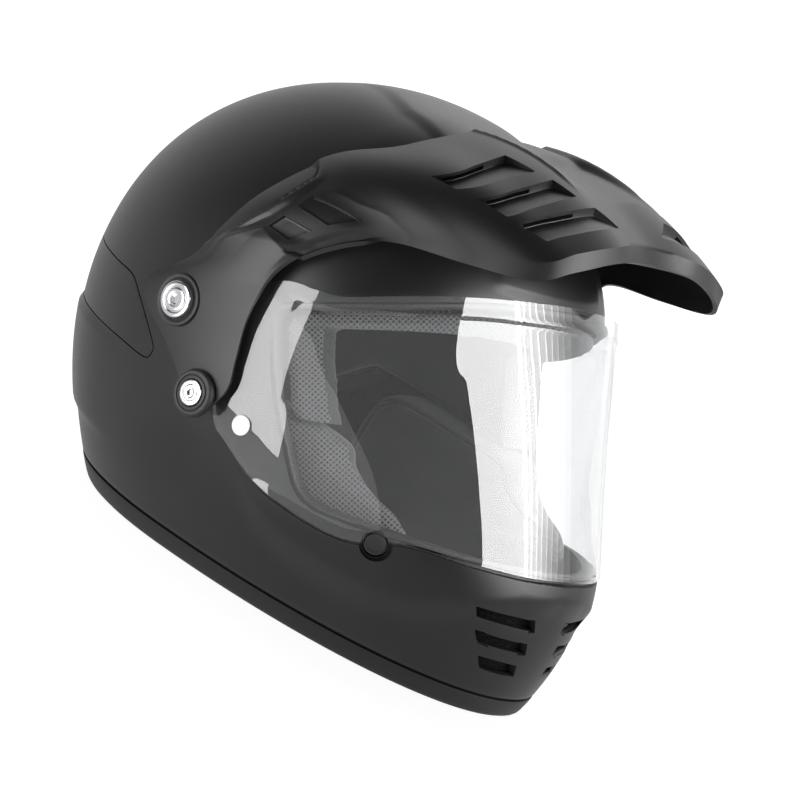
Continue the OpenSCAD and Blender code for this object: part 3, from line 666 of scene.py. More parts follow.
wear(foam, foam_grain)
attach(foam, "helmet")
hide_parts("foam_liner")
wear(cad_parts["chin_foam"], foam_grain)

# Crown liner. A removable comfort lining of 8 mm foam in plain dark jersey, with an open spacer mesh in
# grey round the eyeport. It covers the crown foam and clips in behind the brow.

# Plain dark jersey: short soft fibres, a fine knit and a little sheen at grazing angles
dark_jersey, tree = finish("plain dark jersey fabric")
coat(tree, {"Base Color": tones(tree, noise(tree, 26), "#2f2f2f", "#393939", 0.35, 0.65),
    "Roughness": 0.85, "Sheen Weight": 0.25, "Sheen Roughness": 0.5, "Specular IOR Level": 0.2},
    noise(tree, 1500), 0.15)


def calc(tree, operation, *values):
    return add(tree, "ShaderNodeMath", dict(enumerate(values)), operation=operation), "Value"


# Grey spacer mesh: rhombic holes about 3 mm apart that follow the band round the eyeport, the same on both
# sides of the head. Sockets 6 and 7 and output 2 of the Mix node are its colours.
spacer_mesh, tree = finish("grey polyester spacer mesh")
parts = add(tree, "ShaderNodeSeparateXYZ", {0: (add(tree, "ShaderNodeTexCoord"), "Object")})
folded = add(tree, "ShaderNodeCombineXYZ", {"X": calc(tree, "ABSOLUTE", (parts, "X")), "Y": (parts, "Y"),
    "Z": (parts, "Z")})
turns = []
for way, pitch in (((-0.58, -0.70, 0.42), 0.003), ((0.09, 0.45, 0.89), 0.0027)):
    turns.append((add(tree, "ShaderNodeVectorMath", {0: (folded, "Vector"),
        1: tuple(c * math.pi / pitch for c in way)}, operation="DOT_PRODUCT"), "Value"))
waves = [calc(tree, "ABSOLUTE", calc(tree, "SINE", calc(tree, kind, *turns))) for kind in ("ADD", "SUBTRACT")]
hole = add(tree, "ShaderNodeMapRange", {"Value": calc(tree, "MULTIPLY", *waves), "From Min": 0.36,
    "From Max": 0.6}), "Result"
tone = add(tree, "ShaderNodeMix", {"Factor": hole, 6: linear("#666666"), 7: linear("#1c1c1c")},
    data_type="RGBA")
coat(tree, {"Base Color": (tone, 2), "Roughness": 0.8, "Sheen Weight": 0.15, "Specular IOR Level": 0.2},
    hole, 0.8, 0.0008, True)


def soften(piece, size, rounds):
    finish_with(piece, "REMESH", mode="VOXEL", voxel_size=size)
    finish_with(piece, "SMOOTH", factor=0.5, iterations=rounds)
    smooth(piece, 80)


def depth_in(p):
    y, z = p.y * 1000 - crown_y, p.z * 1000
    n, reach = plan(y, z)
    share = ((abs(p.x) * 1000 / half_width(z)) ** n + (abs(y) / reach) ** n) ** (1 / n) if z < 240 else 0
    return (1 - share) * half_width(min(z, 240))


liner_cut = [(-250, -20), (190, -20), (190, 40), (104, 42), (44, 101), (-20, 101), (-50, 101.5),
    (-250, 101.5)]
liner = dome("crown_liner_cushion", -30.4, 41, 120, 60)
brow_ring = dome("brow_ring", -5.6, 95, 144, 72)
carve(brow_ring, prism("brow_front", eyeport_line, -beyond, beyond, -3.9), "INTERSECT")
carve(liner, brow_ring, "UNION")
carve(liner, dome("head_room", -38.2, 38, 120, 60))
carve(liner, prism("sight", eyeport_line, -beyond, beyond, -9.6))
carve(liner, prism("liner_foot", liner_cut, -beyond, beyond))
soften(liner, 0.0021, 5)
wear(liner, dark_jersey, spacer_mesh)
for face in liner.data.polygons:
    deepest = 27 if face.center.z < 0.15 else 40
    face.material_index = int(face.center.y < 0.012 and depth_in(face.center) < deepest)
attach(liner, "helmet")
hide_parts("crown_liner")

# Cheek pads. Moulded foam cushions snapped in at each cheek, faced in dark jersey with grey spacer mesh
# round the edge that shows in the eyeport. Their inner faces are drawn in along a sewn seam.
cheek_line = [(-122, 67), (-113, 77), (-92, 82), (-77, 89), (-67, 98.5), (-28, 99), (14, 97), (29, 84),
    (32, 50), (23, 28), (-30, 24), (-76, 27), (-92, 46), (-97, 62)]
cheek_y, cheek_z, cheek_steps, strap_y = -38, 64, 144, -8
cheek_loop = evened([Vector((y, z, 0)) for y, z in through(cheek_line, 8, loop=True)], cheek_steps)
# Rows from the middle of the back over the rim and the seam to the middle of the face, as (part of the
# outline's size, part of the way from back to face, how far the face is domed)
cheek_rows = [(0.02, 0, 0), (0.3, 0, 0), (0.6, 0, 0), (0.86, 0, 0), (0.94, 0.03, 0), (0.975, 0.12, 0),
    (0.995, 0.3, 0), (1, 0.5, 0), (0.995, 0.68, 0), (0.975, 0.84, 0), (0.94, 0.95, 0), (0.905, 0.985, 0),
    (0.885, 0.96, 0), (0.865, 1.0, 0.4), (0.82, 1, 2.0), (0.74, 1, 3.9), (0.64, 1, 5.3), (0.52, 1, 6.3),
    (0.4, 1, 6.8), (0.27, 1, 7), (0.14, 1, 7), (0.02, 1, 7)]
for side, name in sides:
    def cheek_skin(u, v):
        k = v * (len(cheek_rows) - 1)
        j = min(int(k), len(cheek_rows) - 2)
        size, f, domed = (a + (b - a) * (k - j) for a, b in zip(cheek_rows[j], cheek_rows[j + 1]))
        edge = cheek_loop[round(u * cheek_steps) % cheek_steps]
        y, z = cheek_y + (edge.x - cheek_y) * size, cheek_z + (edge.y - cheek_z) * size
        back = on_side(y, z, -6).x
        face = min(68, back - 12)
        strap_room = 6.5 * (1 - step(11, 15, abs(y - strap_y))) * (1 - step(74, 82, z))
        back -= strap_room * (1 if size < 0.99 else 0.5)
        return at(side * (back + (face - back) * f - domed), y, z)
    pad = solid("cheek_pad_cushion_" + name, cheek_steps, 3 * (len(cheek_rows) - 1), cheek_skin)
    smooth(pad, 60)
    wear(pad, dark_jersey, spacer_mesh)
    for face in pad.data.polygons:
        face.material_index = int(depth_in(face.center) < 25 and face.center.z * 1000 > 60)
    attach(pad, "helmet")
    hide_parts("cheek_pad_" + name)

# Neck roll. A jersey-covered foam roll round the nape that closes the gap between head and shell, thinner
# at its two ends, with a sewn seam along its lower side.


def roll_skin(u, v):
    size = 0.55 + 0.45 * math.sin(math.pi * v) ** 0.5
    turn = 2 * math.pi * u
    seam = 0.93 if abs(((360 * u + 150) % 360) - 180) < 7 else 1.0
    wide, high = roll_wide * size * math.cos(turn) * seam, 8.5 * size * math.sin(turn) * seam
    pucker = 0.25 * math.sin(46 * math.pi * v) * (1 if seam < 1 else 0.2)
    return at(*round_shell(22 + 136 * v, 20.5 - high, -4.9 - roll_wide + wide - pucker))


roll_wide = 9.5
roll = solid("neck_roll_cushion", 48, 180, roll_skin)
finish_with(roll, "SMOOTH", factor=0.5, iterations=2)
smooth(roll, 60)
wear(roll, dark_jersey)
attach(roll, "helmet")
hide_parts("neck_roll")

# Chin straps. Black woven nylon webbing, 22 mm wide and 2 mm thick, riveted to the shell on each side. The
# left one ends in a sewn loop that holds two D-rings, and the right one is the free end that threads them.
webbing, tree = finish("black woven nylon webbing")
parts = add(tree, "ShaderNodeSeparateXYZ", {0: (add(tree, "ShaderNodeTexCoord"), "Object")})
threads = [calc(tree, "SINE", calc(tree, "MULTIPLY", (parts, axis), math.pi / pitch))
    for axis, pitch in (("Y", 0.0014), ("Z", 0.0011))]
coat(tree, {"Base Color": linear("#222224"), "Roughness": 0.75, "Sheen Weight": 0.2},
    calc(tree, "MULTIPLY", *threads), 0.6, 0.0003)

# Routes as (x, height): down the shell's inside, 6.8 mm in, and under the pad to the loop of the rings
strap_in, ring_x, ring_z = 6.8, 36, 14
tilt = math.atan2(half_width(69) - half_width(55), 14)


def strap_route(end_x):
    route = [(half_width(z) - strap_in / math.cos(tilt), z) for z in (72, 58, 45, 33)]
    route += [(half_width(22) - strap_in - 4, 20.5), (half_width(16) - 20, 15.5), (end_x, ring_z)]
    return through(route, 8)


def strap_band(name, side, route):
    last = len(route) - 1
    ring = [(-11, -0.6), (-10.7, -1), (-5, -1), (5, -1), (10.7, -1), (11, -0.6), (11, 0.6), (10.7, 1), (5, 1),
        (-5, 1), (-10.7, 1), (-11, 0.6), (-11, -0.6)]

    def place(u, v):
        i = round(v * last)
        run = (Vector(route[min(last, i + 1)]) - Vector(route[max(0, i - 1)])).normalized()
        across, up = ring[round(u * (len(ring) - 1))]
        p = Vector(route[i]) + Vector((run.y, -run.x)) * up
        return at(side * p.x, strap_y + across, p.y)
    return solid(name, len(ring) - 1, last, place)


left_route = strap_route(41.3)
to_loop = through([left_route[-9], (58, 15.6), (48, 17.4), (41, 19), (ring_x, 19.5)], 6)[1:]
circle = [on_circle(ring_x, ring_z, 5.5, degrees) for degrees in range(100, 401, 10)]
loop_route = left_route[:-8] + to_loop + circle
for side, name, route in ((1, "left", loop_route), (-1, "right", strap_route(8))):
    strap = strap_band("chin_strap_webbing_" + name, side, route)
    smooth(strap, 50)
    wear(strap, webbing)
    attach(strap, "helmet")
    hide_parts("chin_strap_" + name)

# Strap anchors and rivets. A stamped steel plate on each strap, held by one domed rivet set in the shell.
# Both are the frame's own solids with a finish, because the pads cover them.

# Polished stainless steel: bright, with faint turning marks
bright_steel, tree = finish("polished stainless steel")
coat(tree, {"Base Color": linear("#c2c2c4"), "Roughness": spread(tree, noise(tree, 600), 0.12, 0.22),
    "Metallic": 1.0})
for name in ("strap_anchors", "strap_rivets"):
    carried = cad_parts[name]
    wear(carried, bright_steel)

# D-rings. Two bent and welded rings of 3.6 mm steel wire in the left strap's loop; the narrower one leans
# away from the wider one so that the free strap threads between them.


def ring_wire(name, half, place_x, lean):
    turns = [math.radians(degrees) for degrees in range(0, 181, 5)]
    path = [Vector((-half * math.sin(turn), half * math.cos(turn), 0)) for turn in turns]
    path += [Vector((0, -half + 2 * half * i / 14, 0)) for i in range(1, 14)]
    count = len(path)
    leaning = Matrix.Rotation(math.radians(lean), 3, "Y")
    up = Vector((0, 0, 1))

    def place(u, v):
        i = round(v * count) % count
        run = (path[(i + 1) % count] - path[i - 1]).normalized()
        a = 2 * math.pi * u
        p = leaning @ (path[i] + (up * math.cos(a) + run.cross(up) * math.sin(a)) * 1.8)
        return at(place_x + p.x, strap_y + p.y, ring_z + p.z)
    return formed(name, 20, count, place)


for name, half, place_x, lean in (("wide", 19.4, 38.2, 0), ("narrow", 13.8, 33.7, 22)):
    ring = ring_wire("d_ring_wire_" + name, half, place_x, lean)
    smooth(ring, 60)
    wear(ring, bright_steel)
    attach(ring, "rings")
    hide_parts("d_ring_" + name)

# Hinge plates. A moulded black acetal plate let into each side of the shell, with the round boss that the
# shield's hub ring turns on. Two small screws hold it down, and the peak's upper screw passes through it.

# Black acetal: smooth and slightly waxy
acetal, tree = finish("black acetal")
coat(tree, {"Base Color": linear("#2a2a2c"), "Roughness": spread(tree, noise(tree, 500), 0.34, 0.44)})

for side, name in sides:
    plate = prism("hinge_plate_" + name, plate_line, side * plate_back, side * (plate_back + 2))
    carve(plate, rod("boss", *hinge, 13.8, side * 120.6, side * 126.1, 96), "UNION")
    carve(plate, rod("plate_bore", *upper_screw, 3.4, side * 115, side * 130, 32))
    for screw in plate_screws:
        carve(plate, rod("plate_screw_bore", *screw, 2.5, side * 115, side * 130, 24))
    ease(plate, 0.0003, 2)
    smooth(plate, 40)
    wear(plate, acetal)
    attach(plate, "helmet")
    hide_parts("base_plate_" + name)
wear(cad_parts["base_plate_screws"], bright_steel)

# Face shield. Clear polycarbonate, 2.2 mm thick, hard coated. It swells past the cheeks, has a moulded
# bead under its upper edge and a finger lip at its lower edge, and turns on a hub ring at each ear.


def shield_skin(u, v):
    t = 1 - v
    p = shield_at(u, t)
    bead = 0.9 * step(0.915, 0.93, t) + 0.5 * math.exp(-((t - 0.918) / 0.006) ** 2)
    bead *= step(0.06, 0.12, u) * step(0.06, 0.12, 1 - u)
    near = math.exp(-((u - 0.745) / 0.05) ** 2) + math.exp(-((u - 0.255) / 0.05) ** 2)
    finger_lip = 2.6 * near * max(0.0, 1 - t / 0.05) ** 2
    return at(*(p + shield_out(p) * (bead + finger_lip)))


shield = formed("shield", len(shield_lower) - 1, 90, shield_skin, closed=False)
finish_with(shield, "SOLIDIFY", thickness=0.0022, offset=-1)
for side in (-1, 1):
    ear = rod("ear", *hinge, 18.6, side * 122.9, side * 125.2, 96)
    web = block("web", [at(side * x, y, z) for x in (122.95, 125.15) for y, z in
        ((19, 139.4), (3, 146), (-9.6, 104), (11, 103.4))])
    carve(ear, web, "UNION")
    carve(shield, ear, "UNION")
    carve(shield, rod("ear_hole", *hinge, 16.2, side * 118, side * 130, 96))
carve(shield, drum("lock_notch", 6.8, -8, 15))
smooth(shield, 40)


def blend(tree, share, first, second):
    return add(tree, "ShaderNodeMixShader", {"Fac": share, 1: first, 2: second}), "Shader"


# Clear hard-coated polycarbonate: water clear, and clear to light that casts a shadow
clear_pc, tree = finish("clear hard-coated polycarbonate")
pane = add(tree, "ShaderNodeBsdfPrincipled", {"Base Color": linear("#fbfcfd"), "Roughness": 0.0, "IOR": 1.58,
    "Transmission Weight": 1.0})
gap = add(tree, "ShaderNodeBsdfTransparent", {"Color": linear("#f4f5f6")})
add(tree, "ShaderNodeOutputMaterial", {"Surface": blend(tree,
    (add(tree, "ShaderNodeLightPath"), "Is Shadow Ray"), (pane, "BSDF"), (gap, "BSDF"))})
wear(shield, clear_pc)
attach(shield, "shield")
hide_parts("face_shield")

# Hub rings. Black acetal rings pressed into the shield's ears, which turn on the bosses of the hinge
# plates. Their rims stand a little proud of the ear on both faces, under the peak's arms.


def turned(name, origin, axis, section, steps=72):
    axis, origin = Vector(axis).normalized(), Vector(origin)
    first = axis.cross(Vector((0, 0, 1))).normalized()
    second = axis.cross(first)

    def place(u, v):
        h, r = section[round(v * (len(section) - 1))]
        a = 2 * math.pi * u
        return at(*(origin + axis * h + (first * math.cos(a) + second * math.sin(a)) * r))
    return formed(name, steps, len(section) - 1, place)


hub_section = [(122.8, 14.3), (122.8, 16.0), (123.0, 16.2), (125.2, 16.2), (125.4, 16.0), (125.4, 14.3),
    (125.2, 14.1), (123.0, 14.1), (122.8, 14.3)]
for side, name in sides:
    hub = turned("hub_ring_turned_" + name, (0, *hinge), (side, 0, 0), hub_section, 96)
    smooth(hub, 40)
    wear(hub, acetal)
    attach(hub, "shield")
    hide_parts("hub_ring_" + name)

# Lens pins. White nylon pins through the shield's lower rear corners, for an anti-fog insert. Each has a
# domed head outside the shield and a plain shank that ends inside it.
white_nylon_painted_glow, tree = finish("white moulded nylon with painted glow")
# The emission is a painted glow: it lights the pins' domed heads in place of a lamp's reflection on them.
coat(tree, {"Base Color": linear("#fdfdfd"), "Roughness": spread(tree, noise(tree, 900), 0.3, 0.4),
    "Subsurface Weight": 0.3, "Subsurface Scale": 0.002, "Emission Color": (1, 1, 1, 1),
    "Emission Strength": 0.6})
pin_along, pin_up = 112 / 864, 0.155
pin_section = [(-3.0, 0), (-3.0, 1.7), (-2.7, 2), (0.6, 2), (0.6, 4.7), (0.8, 5.05), (1.15, 5.15),
    (1.55, 4.9), (1.85, 4.1), (2.0, 2.6), (2.05, 0)]
for u, name in ((1 - pin_along, "right"), (pin_along, "left")):
    spot = shield_at(u, pin_up)
    lens_pin = turned("lens_pin_turned_" + name, spot, shield_out(spot), pin_section, 48)
    smooth(lens_pin, 50)
    wear(lens_pin, white_nylon_painted_glow)
    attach(lens_pin, "shield")
    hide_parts("lens_pin_" + name)

# Peak. One injection-moulded piece of matte black nylon, 2.4 mm thick, with an arm down each side, three
# ducted air slots a side and a bevelled lip. Each arm is screwed to the shell at two points.
arm = 129.5
# Guide points from the left arm's end to the crown: rear edge, front edge's top and bottom, and swell
peak_guide = [
    ((arm - 1, -3, 79), (arm - 0.5, -14, 80.5), (arm - 1, -14.5, 80), 0),
    ((arm, 7, 93), (arm + 1, -25, 99), (arm + 0.5, -25.5, 99), 0.5),
    ((arm, 25, 105), (arm + 2, -23, 116), (arm + 1.5, -23.5, 116), 1),
    ((arm, 45, 116), (arm + 2.5, -20, 132), (arm + 2, -20.5, 132), 1),
    ((arm - 0.5, 49, 128), (arm + 2.5, -19, 147), (arm + 2, -20, 147), 2),
    ((arm - 1.5, 30, 149), (arm - 0.5, -21, 165), (arm - 1.5, -22, 164.5), 4),
    ((arm - 3.5, 26, 166), (arm - 6.5, -30, 182), (arm - 7.5, -31, 180.5), 6),
    ((on_side(17, 190, 8).x + 1, 17, 190), (113, -45, 197), (112, -46, 195), 8),
    ((107, 6, 213), (102, -62, 207), (101, -63, 203.5), 9),
    ((96, -4, 227), (93, -98, 217), (92, -98, 210.5), 11),
    ((79, -20, 240), (84, -132, 229), (84, -132, 219), 11),
    ((58, -25, 250), (66.4, -138, 239), (66.4, -141, 230), 9),
    ((28, -29, 261), (36.1, -139, 247), (36.1, -142, 239), 9),
    ((0, -29, 262), (0, -129, 247), (0, -136, 240), 7)]
peak_steps, stations = 48, 2 * (len(peak_guide) - 1)
peak_rear, peak_top, peak_low = (through(both_sides([guide[i] for guide in peak_guide]), peak_steps)
    for i in range(3))
peak_swell = through(both_sides([(guide[3],) for guide in peak_guide], 1), peak_steps)
# The flange's edge as (station, part of the way from the rear edge to the front edge), and the two creases
# of the arm as (part of the way, station)
flange_edge = [(5.4, 0), (5.75, 0.13), (6.12, 0.23), (6.62, 0.31), (7.0, 0.31), (7.5, 0.27), (7.88, 0.23),
    (8.3, 0.06), (8.45, 0)]
arm_crease = [(0.0, 5.4), (0.27, 5.75), (0.48, 6.2), (0.9, 5.62), (1.0, 5.5)]
front_crease = [(0.3, 7.7), (0.48, 7.75), (0.69, 7.88), (0.81, 8.12), (1.0, 8.15)]


def along_list(points, station):
    i = max(0.0, min(len(points) - 1.001, station * peak_steps))
    j = int(i)
    return tuple(a + (b - a) * (i - j) for a, b in zip(points[j], points[j + 1]))


def peak_plain(station, t):
    rear, top = Vector(along_list(peak_rear, station)), Vector(along_list(peak_top, station))
    p = rear.lerp(top, t)
    out = Vector((p.x, 0, p.z - side_level)).normalized()
    return p + out * 4 * t * (1 - t) * along_list(peak_swell, station)[0], out


# Relief of the peak by station: the sunk flange along the arm's rear edge with a wedge before it, the two
# raised creases of the arm, the hollow near its front edge, and the crown's channel with its ridges
def peak_rise(station, t, p):
    h = min(station, stations - station)
    rise = 0.0
    if 5.4 < h < 8.45:
        edge = along_table(flange_edge, h)
        here = step(5.4, 5.75, h) * (1 - step(8.1, 8.4, h))
        rise -= 2.6 * (1 - step(edge - 0.03, edge - 0.005, t)) * here
        rise -= 0.9 * math.exp(-((t - edge + 0.03) / 0.012) ** 2) * here
        wedge = max(0.0, min(1.0, (t - edge - 0.035) / 0.05))
        rise -= 1.3 * wedge * step(5.8, 6.3, h) * (1 - step(7.4, 8.2, h)) * (1 - step(0.86, 0.97, t) * 0.5)
    if 4.6 < h < 8.8:
        back = h - along_table(arm_crease, t)
        inside = step(0.1, 0.25, t) * (1 - step(0.93, 1, t))
        rise += 1.6 * math.exp(-abs(back) / (0.5 if back < 0 else 0.28)) * inside
        front = h - along_table(front_crease, t)
        rise += 0.7 * math.exp(-abs(front) / 0.25) * step(0.35, 0.5, t)
    if 5.4 < h < 8.2:
        rise -= 2.4 * step(0.875, 0.93, t) * step(5.55, 5.8, h) * (1 - step(6.9, 8.0, h))
    if h > 10.5:
        across = abs(p.x)
        depth = 4.6 * max(0.0, min(1.0, (p.y + 99) / 40)) - 2.0 * step(-60, -46, p.y)
        rise -= depth * (1 - step(27.5, 32.5, across))
        rise += 1.0 * math.exp(-((across - 33.6) / 1.5) ** 2) * max(0.0, min(1.0, (p.y + 104) / 16))
    return rise


def peak_at(station, t, off=0.0):
    p, out = peak_plain(station, t)
    return p + out * (off + peak_rise(station, t, p))


# Columns lie closest together on the arms and along the ridges of the crown channel
peak_columns = [0.0]
for h0, h1, count in ((0, 5, 40), (5, 9, 136), (9, 11.4, 38), (11.4, 12.3, 32), (12.3, 13, 7)):
    peak_columns += [h0 + (h1 - h0) * i / count for i in range(1, count + 1)]
peak_columns += [stations - h for h in reversed(peak_columns[:-1])]
face_rows, lip_rows = 68, 8


def peak_skin(u, v):
    station = peak_columns[round(u * (len(peak_columns) - 1))]
    row = round(v * (face_rows + lip_rows))
    if row <= face_rows:
        return at(*peak_at(station, row / face_rows))
    lip = Vector(along_list(peak_low, station))
    return at(*peak_at(station, 1).lerp(lip, (row - face_rows) / lip_rows))


peak = formed("peak_cover", len(peak_columns) - 1, face_rows + lip_rows, peak_skin, closed=False)
finish_with(peak, "SOLIDIFY", thickness=0.0024, offset=-1)


def spot_in(corners, u, q):
    a, b, c, d = (Vector(corner) for corner in corners)
    return a.lerp(b, u).lerp(d.lerp(c, u), q)


def part_of(corners, u0, u1, q0, q1):
    return [spot_in(corners, u, q) for u, q in ((u0, q0), (u1, q0), (u1, q1), (u0, q1))]


def patch(name, corners, low, high, right, cells=10):
    loop = [(i / 4, low) for i in range(5)] + [(1 - i / 4, high) for i in range(5)]

    def place(u, v):
        q, off = loop[round(v * len(loop)) % len(loop)]
        spot = spot_in(corners, u, q)
        station = stations - spot.x if right else spot.x
        return at(*peak_at(station, spot.y, off[0] + (off[1] - off[0]) * q))
    return solid(name, cells, len(loop), place)


# Ducted slots: each has a steep rear wall with a slit in it and a floor that rises to the front edge.
# Corners are (station, part of the way from the rear edge to the lip), rear edge first
air_slots = [[(9.62, 0.40), (11.5, 0.31), (11.62, 0.48), (9.75, 0.52)],
    [(9.88, 0.60), (11.75, 0.56), (11.88, 0.69), (10.12, 0.73)],
    [(10.12, 0.77), (12.1, 0.77), (12.45, 0.90), (10.5, 0.90)]]
arm_pockets = [[(6.3, 0.50), (6.68, 0.49), (6.56, 0.80), (6.05, 0.79)],
    [(7.03, 0.47), (7.42, 0.43), (7.6, 0.84), (6.9, 0.80)]]
for right in (False, True):
    for mouth in air_slots:
        duct_part = part_of(mouth, -0.05, 1.05, -0.12, 1.08)
        carve(peak, patch("duct", duct_part, (-6.1, -3.2), (-0.8, -0.8), right), "UNION")
    for mouth in air_slots:
        hollow = patch("duct_hollow", mouth, (-4.7, -0.5), (3, 3), right, 16)
        ease(hollow, 0.0005, 2)
        carve(peak, hollow)
        slit_part = part_of(mouth, 0.12, 0.74, -0.3, 0.04)
        carve(peak, patch("duct_slit", slit_part, (-4.2, -4.2), (-1.9, -1.9), right, 12))
    for mouth in arm_pockets:
        pocket = patch("arm_pocket", mouth, (-1.9, -1.9), (3, 3), right, 8)
        ease(pocket, 0.0005, 2)
        carve(peak, pocket)

for side in (-1, 1):
    carve(peak, rod("upper_hole", *upper_screw, 5.3, side * 115, side * 145, 48))
    carve(peak, rod("washer_seat", *upper_screw, 13.8, side * 130.8, side * 145))
    carve(peak, rod("lower_hole", *lower_screw, 4.9, side * 115, side * 145, 48))
    carve(peak, rod("grommet_seat", *lower_screw, 12.6, side * 130.4, side * 145))
smooth(peak, 30)

# Matte black nylon: spark-eroded mould texture, slightly glossier than the paint of the shell
matte_nylon, tree = finish("matte black moulded nylon")
grain = noise(tree, 900, 3)
coat(tree, {"Base Color": tones(tree, grain, "#212123", "#29292b"),
    "Roughness": spread(tree, grain, 0.4, 0.55), "IOR": 1.5, "Specular IOR Level": 0.35}, grain, 0.16)
wear(peak, matte_nylon)
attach(peak, "helmet")
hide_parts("peak")

# Peak hardware. Each arm is held by a large and a small stainless screw with a hexagon socket and turned
# rings, one on a dished black washer and one in a thick rubber grommet, into flanged nuts behind the shell.
lower_seat = on_side(*lower_screw).x
washer_section = [(126.1, 3.3), (126.1, 5), (131.1, 5), (131.1, 12.9), (131.3, 13.3), (131.9, 13.55),
    (132.7, 13.5), (133.2, 13.2), (133.5, 12.6), (133.35, 11.7), (132.8, 10.9), (132.2, 10.4), (132.1, 10.2),
    (132.1, 3.3), (126.1, 3.3)]
upper_section = [(114.7, 0), (114.7, 3), (132.1, 3), (132.1, 9.1), (132.4, 9.4), (134.5, 9.4), (135.0, 9.15),
    (135.25, 8.7), (135.3, 7.4), (135.15, 6.75), (134.85, 6.5), (134.85, 6.2), (135.2, 5.95), (135.4, 5.5),
    (135.4, 3.9), (135.3, 3.6), (135.3, 0)]
grommet_section = [(lower_seat + 0.9, 2.4), (lower_seat + 0.9, 4.6), (130.7, 4.6), (130.7, 11.1),
    (131.0, 11.8), (131.8, 12.3), (133.1, 12.3), (134.2, 11.9), (134.9, 11.2), (135.2, 10.4), (135.0, 9.7),
    (134.5, 9.4), (134.6, 9.0), (135.3, 8.8), (135.6, 8.3), (135.6, 7.6), (135.2, 7.1), (133.2, 7.0),
    (133.2, 2.4), (lower_seat + 0.9, 2.4)]
lower_section = [(111.7, 0), (111.7, 2.2), (133.2, 2.2), (133.2, 6.4), (133.5, 6.7), (135.7, 6.7),
    (136.15, 6.4), (136.3, 5.9), (136.25, 5.2), (135.95, 4.9), (135.95, 4.6), (136.25, 4.35), (136.5, 3.9),
    (136.5, 2.8), (136.4, 2.6), (136.4, 0)]
# Sockets as (radius of the hexagon, from x, to x)
hardware = (("peak_washer_", black_rubber, "rubber", upper_screw, None, washer_section),
    ("peak_screw_", bright_steel, "steel", upper_screw, (3.0, 133.6, 137), upper_section),
    ("lower_grommet_", black_rubber, "rubber", lower_screw, None, grommet_section),
    ("lower_screw_", bright_steel, "steel", lower_screw, (2.1, 135.0, 138), lower_section))
for side, name in sides:
    for label, material, slot_name, middle, socket, section in hardware:
        part = turned(label + "turned_" + name, (0, *middle), (side, 0, 0), section)
        if socket:
            radius, low, high = socket
            carve(part, rod("socket", *middle, radius, side * low, side * high, 6))
        smooth(part, 38)
        wear(part, material)
        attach(part, "helmet")
        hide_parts(label + name)
wear(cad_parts["insert_nuts"], bright_steel)

# Shield lock. A black acetal cup let into the chin's upper edge, with a spring-loaded button that stands
# in the shield's notch and holds it shut until it is pressed.
housing_section = [(-9.5, 0), (-9.5, 6.5), (-9.2, 6.8), (-1.7, 6.8), (-1.5, 6.6), (-1.5, 6.0), (-1.8, 5.9),
    (-8, 5.9), (-8, 0)]
button_section = [(-3, 0), (-3, 5.5), (2.3, 5.6), (2.75, 5.45), (3.0, 5.05), (3.0, 4.5), (2.85, 4.1),
    (2.9, 2), (2.9, 0)]
for name, body, section in (("lock_housing", "helmet", housing_section),
        ("lock_button", "button", button_section)):
    part = turned(name + "_turned", lock_point, lock_out, section, 64)
    smooth(part, 38)
    wear(part, acetal)
    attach(part, body)
    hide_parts(name)
upright = Vector((0, 0, 1))
level_way = lock_out.cross(upright).normalized()


def coil_skin(u, v):
    turn, a = 2 * math.pi * 5.5 * v, 2 * math.pi * u
    radial = level_way * math.cos(turn) + upright * math.sin(turn)
    p = lock_point + lock_out * (-7.7 + 4.3 * v) + radial * 3.1
    return at(*(p + (radial * math.cos(a) + lock_out * math.sin(a)) * 0.28))


coil = solid("lock_spring_coil", 10, 160, coil_skin)
smooth(coil, 60)
wear(coil, bright_steel)
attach(coil, "helmet")
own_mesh(coil)
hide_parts("lock_spring")

# Studio. A white sweep lights the helmet from behind and beyond, a long softbox past the face shows in the
# shield as an upright band, and a low box stands beside the rear of the right side. The floor and the room
# look white to the eye, and the floor is clear from below.


def by_ray(tree, reflected, direct):
    path = add(tree, "ShaderNodeLightPath")
    seen = calc(tree, "MAXIMUM", (path, "Is Camera Ray"), (path, "Is Transmission Ray"))
    return blend(tree, seen, reflected, direct)


deselect()
bpy.ops.mesh.primitive_plane_add(size=16)
ground = bpy.context.object
ground.name = "studio_floor"
white_floor, tree = finish("white studio floor")
matt = add(tree, "ShaderNodeBsdfDiffuse", {"Color": linear("#b0b0b0")})
glows = [(add(tree, "ShaderNodeEmission", {"Strength": strength}), "Emission") for strength in (0.75, 0.93)]
lit_matt = add(tree, "ShaderNodeAddShader", {0: (matt, "BSDF"), 1: by_ray(tree, *glows)})
add(tree, "ShaderNodeOutputMaterial", {"Surface": blend(tree,
    (add(tree, "ShaderNodeNewGeometry"), "Backfacing"), (lit_matt, "Shader"),
    (add(tree, "ShaderNodeBsdfTransparent"), "BSDF"))})
wear(ground, white_floor)

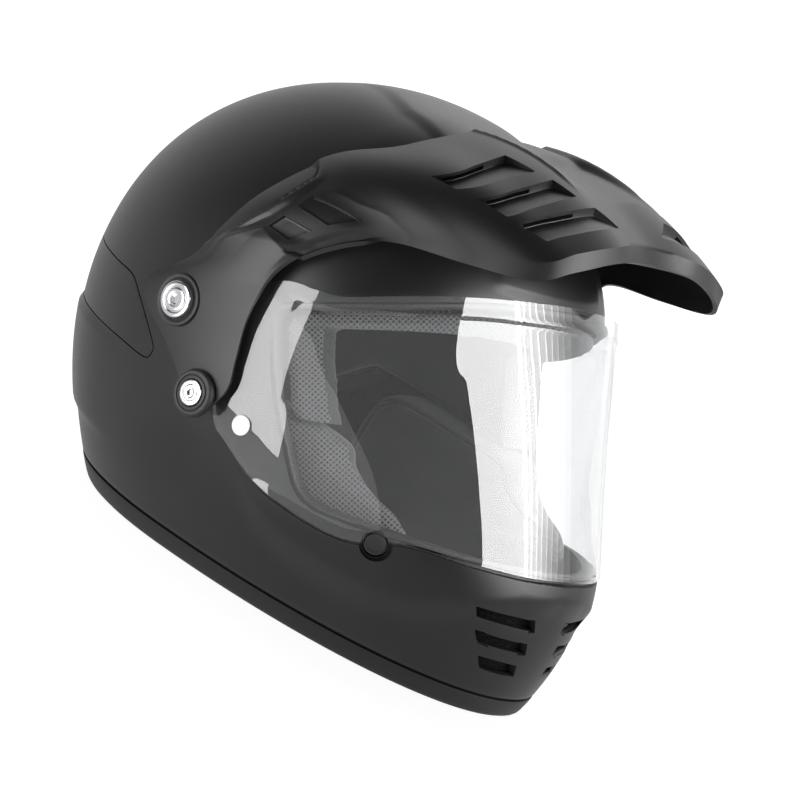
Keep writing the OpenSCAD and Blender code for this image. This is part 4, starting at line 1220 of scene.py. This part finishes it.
world = bpy.data.worlds.new("studio")
bpy.context.scene.world = world
world.use_nodes = True
tree = world.node_tree
tree.nodes.clear()
way = add(tree, "ShaderNodeTexCoord"), "Generated"
far_side = add(tree, "ShaderNodeVectorMath", {0: way, 1: (0.72, 0.66, 0.2)}, operation="DOT_PRODUCT")
fade = add(tree, "ShaderNodeMapRange", {"Value": (far_side, "Value"), "From Min": 0.1, "From Max": 0.85,
    "To Min": 0.0, "To Max": 1.1}, interpolation_type="SMOOTHSTEP")
height = add(tree, "ShaderNodeSeparateXYZ", {0: way})
dark_top = add(tree, "ShaderNodeMapRange", {"Value": (height, "Z"), "From Min": 0.62, "From Max": 0.9,
    "To Min": 1.0, "To Max": 0.1}, interpolation_type="SMOOTHSTEP")
level = calc(tree, "ADD", calc(tree, "MULTIPLY", (fade, "Result"), (dark_top, "Result")), 0.1)
rooms = [(add(tree, "ShaderNodeBackground", {"Color": (1, 1, 1, 1), "Strength": strength}), "Background")
    for strength in (level, 1.0)]
add(tree, "ShaderNodeOutputWorld", {"Surface": by_ray(tree, *rooms)})
bpy.context.scene.view_settings.view_transform = "Standard"


def softbox(name, bearing, rise, distance, width, height, radiance, reflected_only=False):
    lamp = bpy.data.lights.new(name, "AREA")
    lamp.shape = "RECTANGLE"
    lamp.size, lamp.size_y = width, height
    lamp.energy = radiance * math.pi * width * height
    box = bpy.data.objects.new(name, lamp)
    bpy.context.scene.collection.objects.link(box)
    a, e = math.radians(bearing), math.radians(rise)
    away = Vector((math.cos(a) * math.cos(e), math.sin(a) * math.cos(e), math.sin(e)))
    box.location = Vector((0, 0, 0.14)) + away * distance
    box.rotation_euler = (-away).to_track_quat("-Z", "Y").to_euler()
    box.visible_camera = False
    box.visible_transmission = False
    box.visible_diffuse = not reflected_only
    return box


softbox("beyond", 25, 38, 2.2, 1.5, 0.8, 2.2)
softbox("face_band", -80.5, 27, 2.0, 1.02, 1.0, 14, True)
for i, radiance in enumerate((13, 11.5, 9.5, 7.2, 5, 3.2, 1.8, 0.8)):
    softbox("face_band_fade", -64 + 4.5 * i, 27, 2.0, 0.165, 1.0, radiance, True)
low_box = softbox("side_band", 180, 0, 0.3, 0.135, 0.19, 8.0, True)
low_box.location = (-0.275, 0.0325, 0.11)
low_box.rotation_euler = Vector((1, 0, 0)).to_track_quat("-Z", "Y").to_euler()
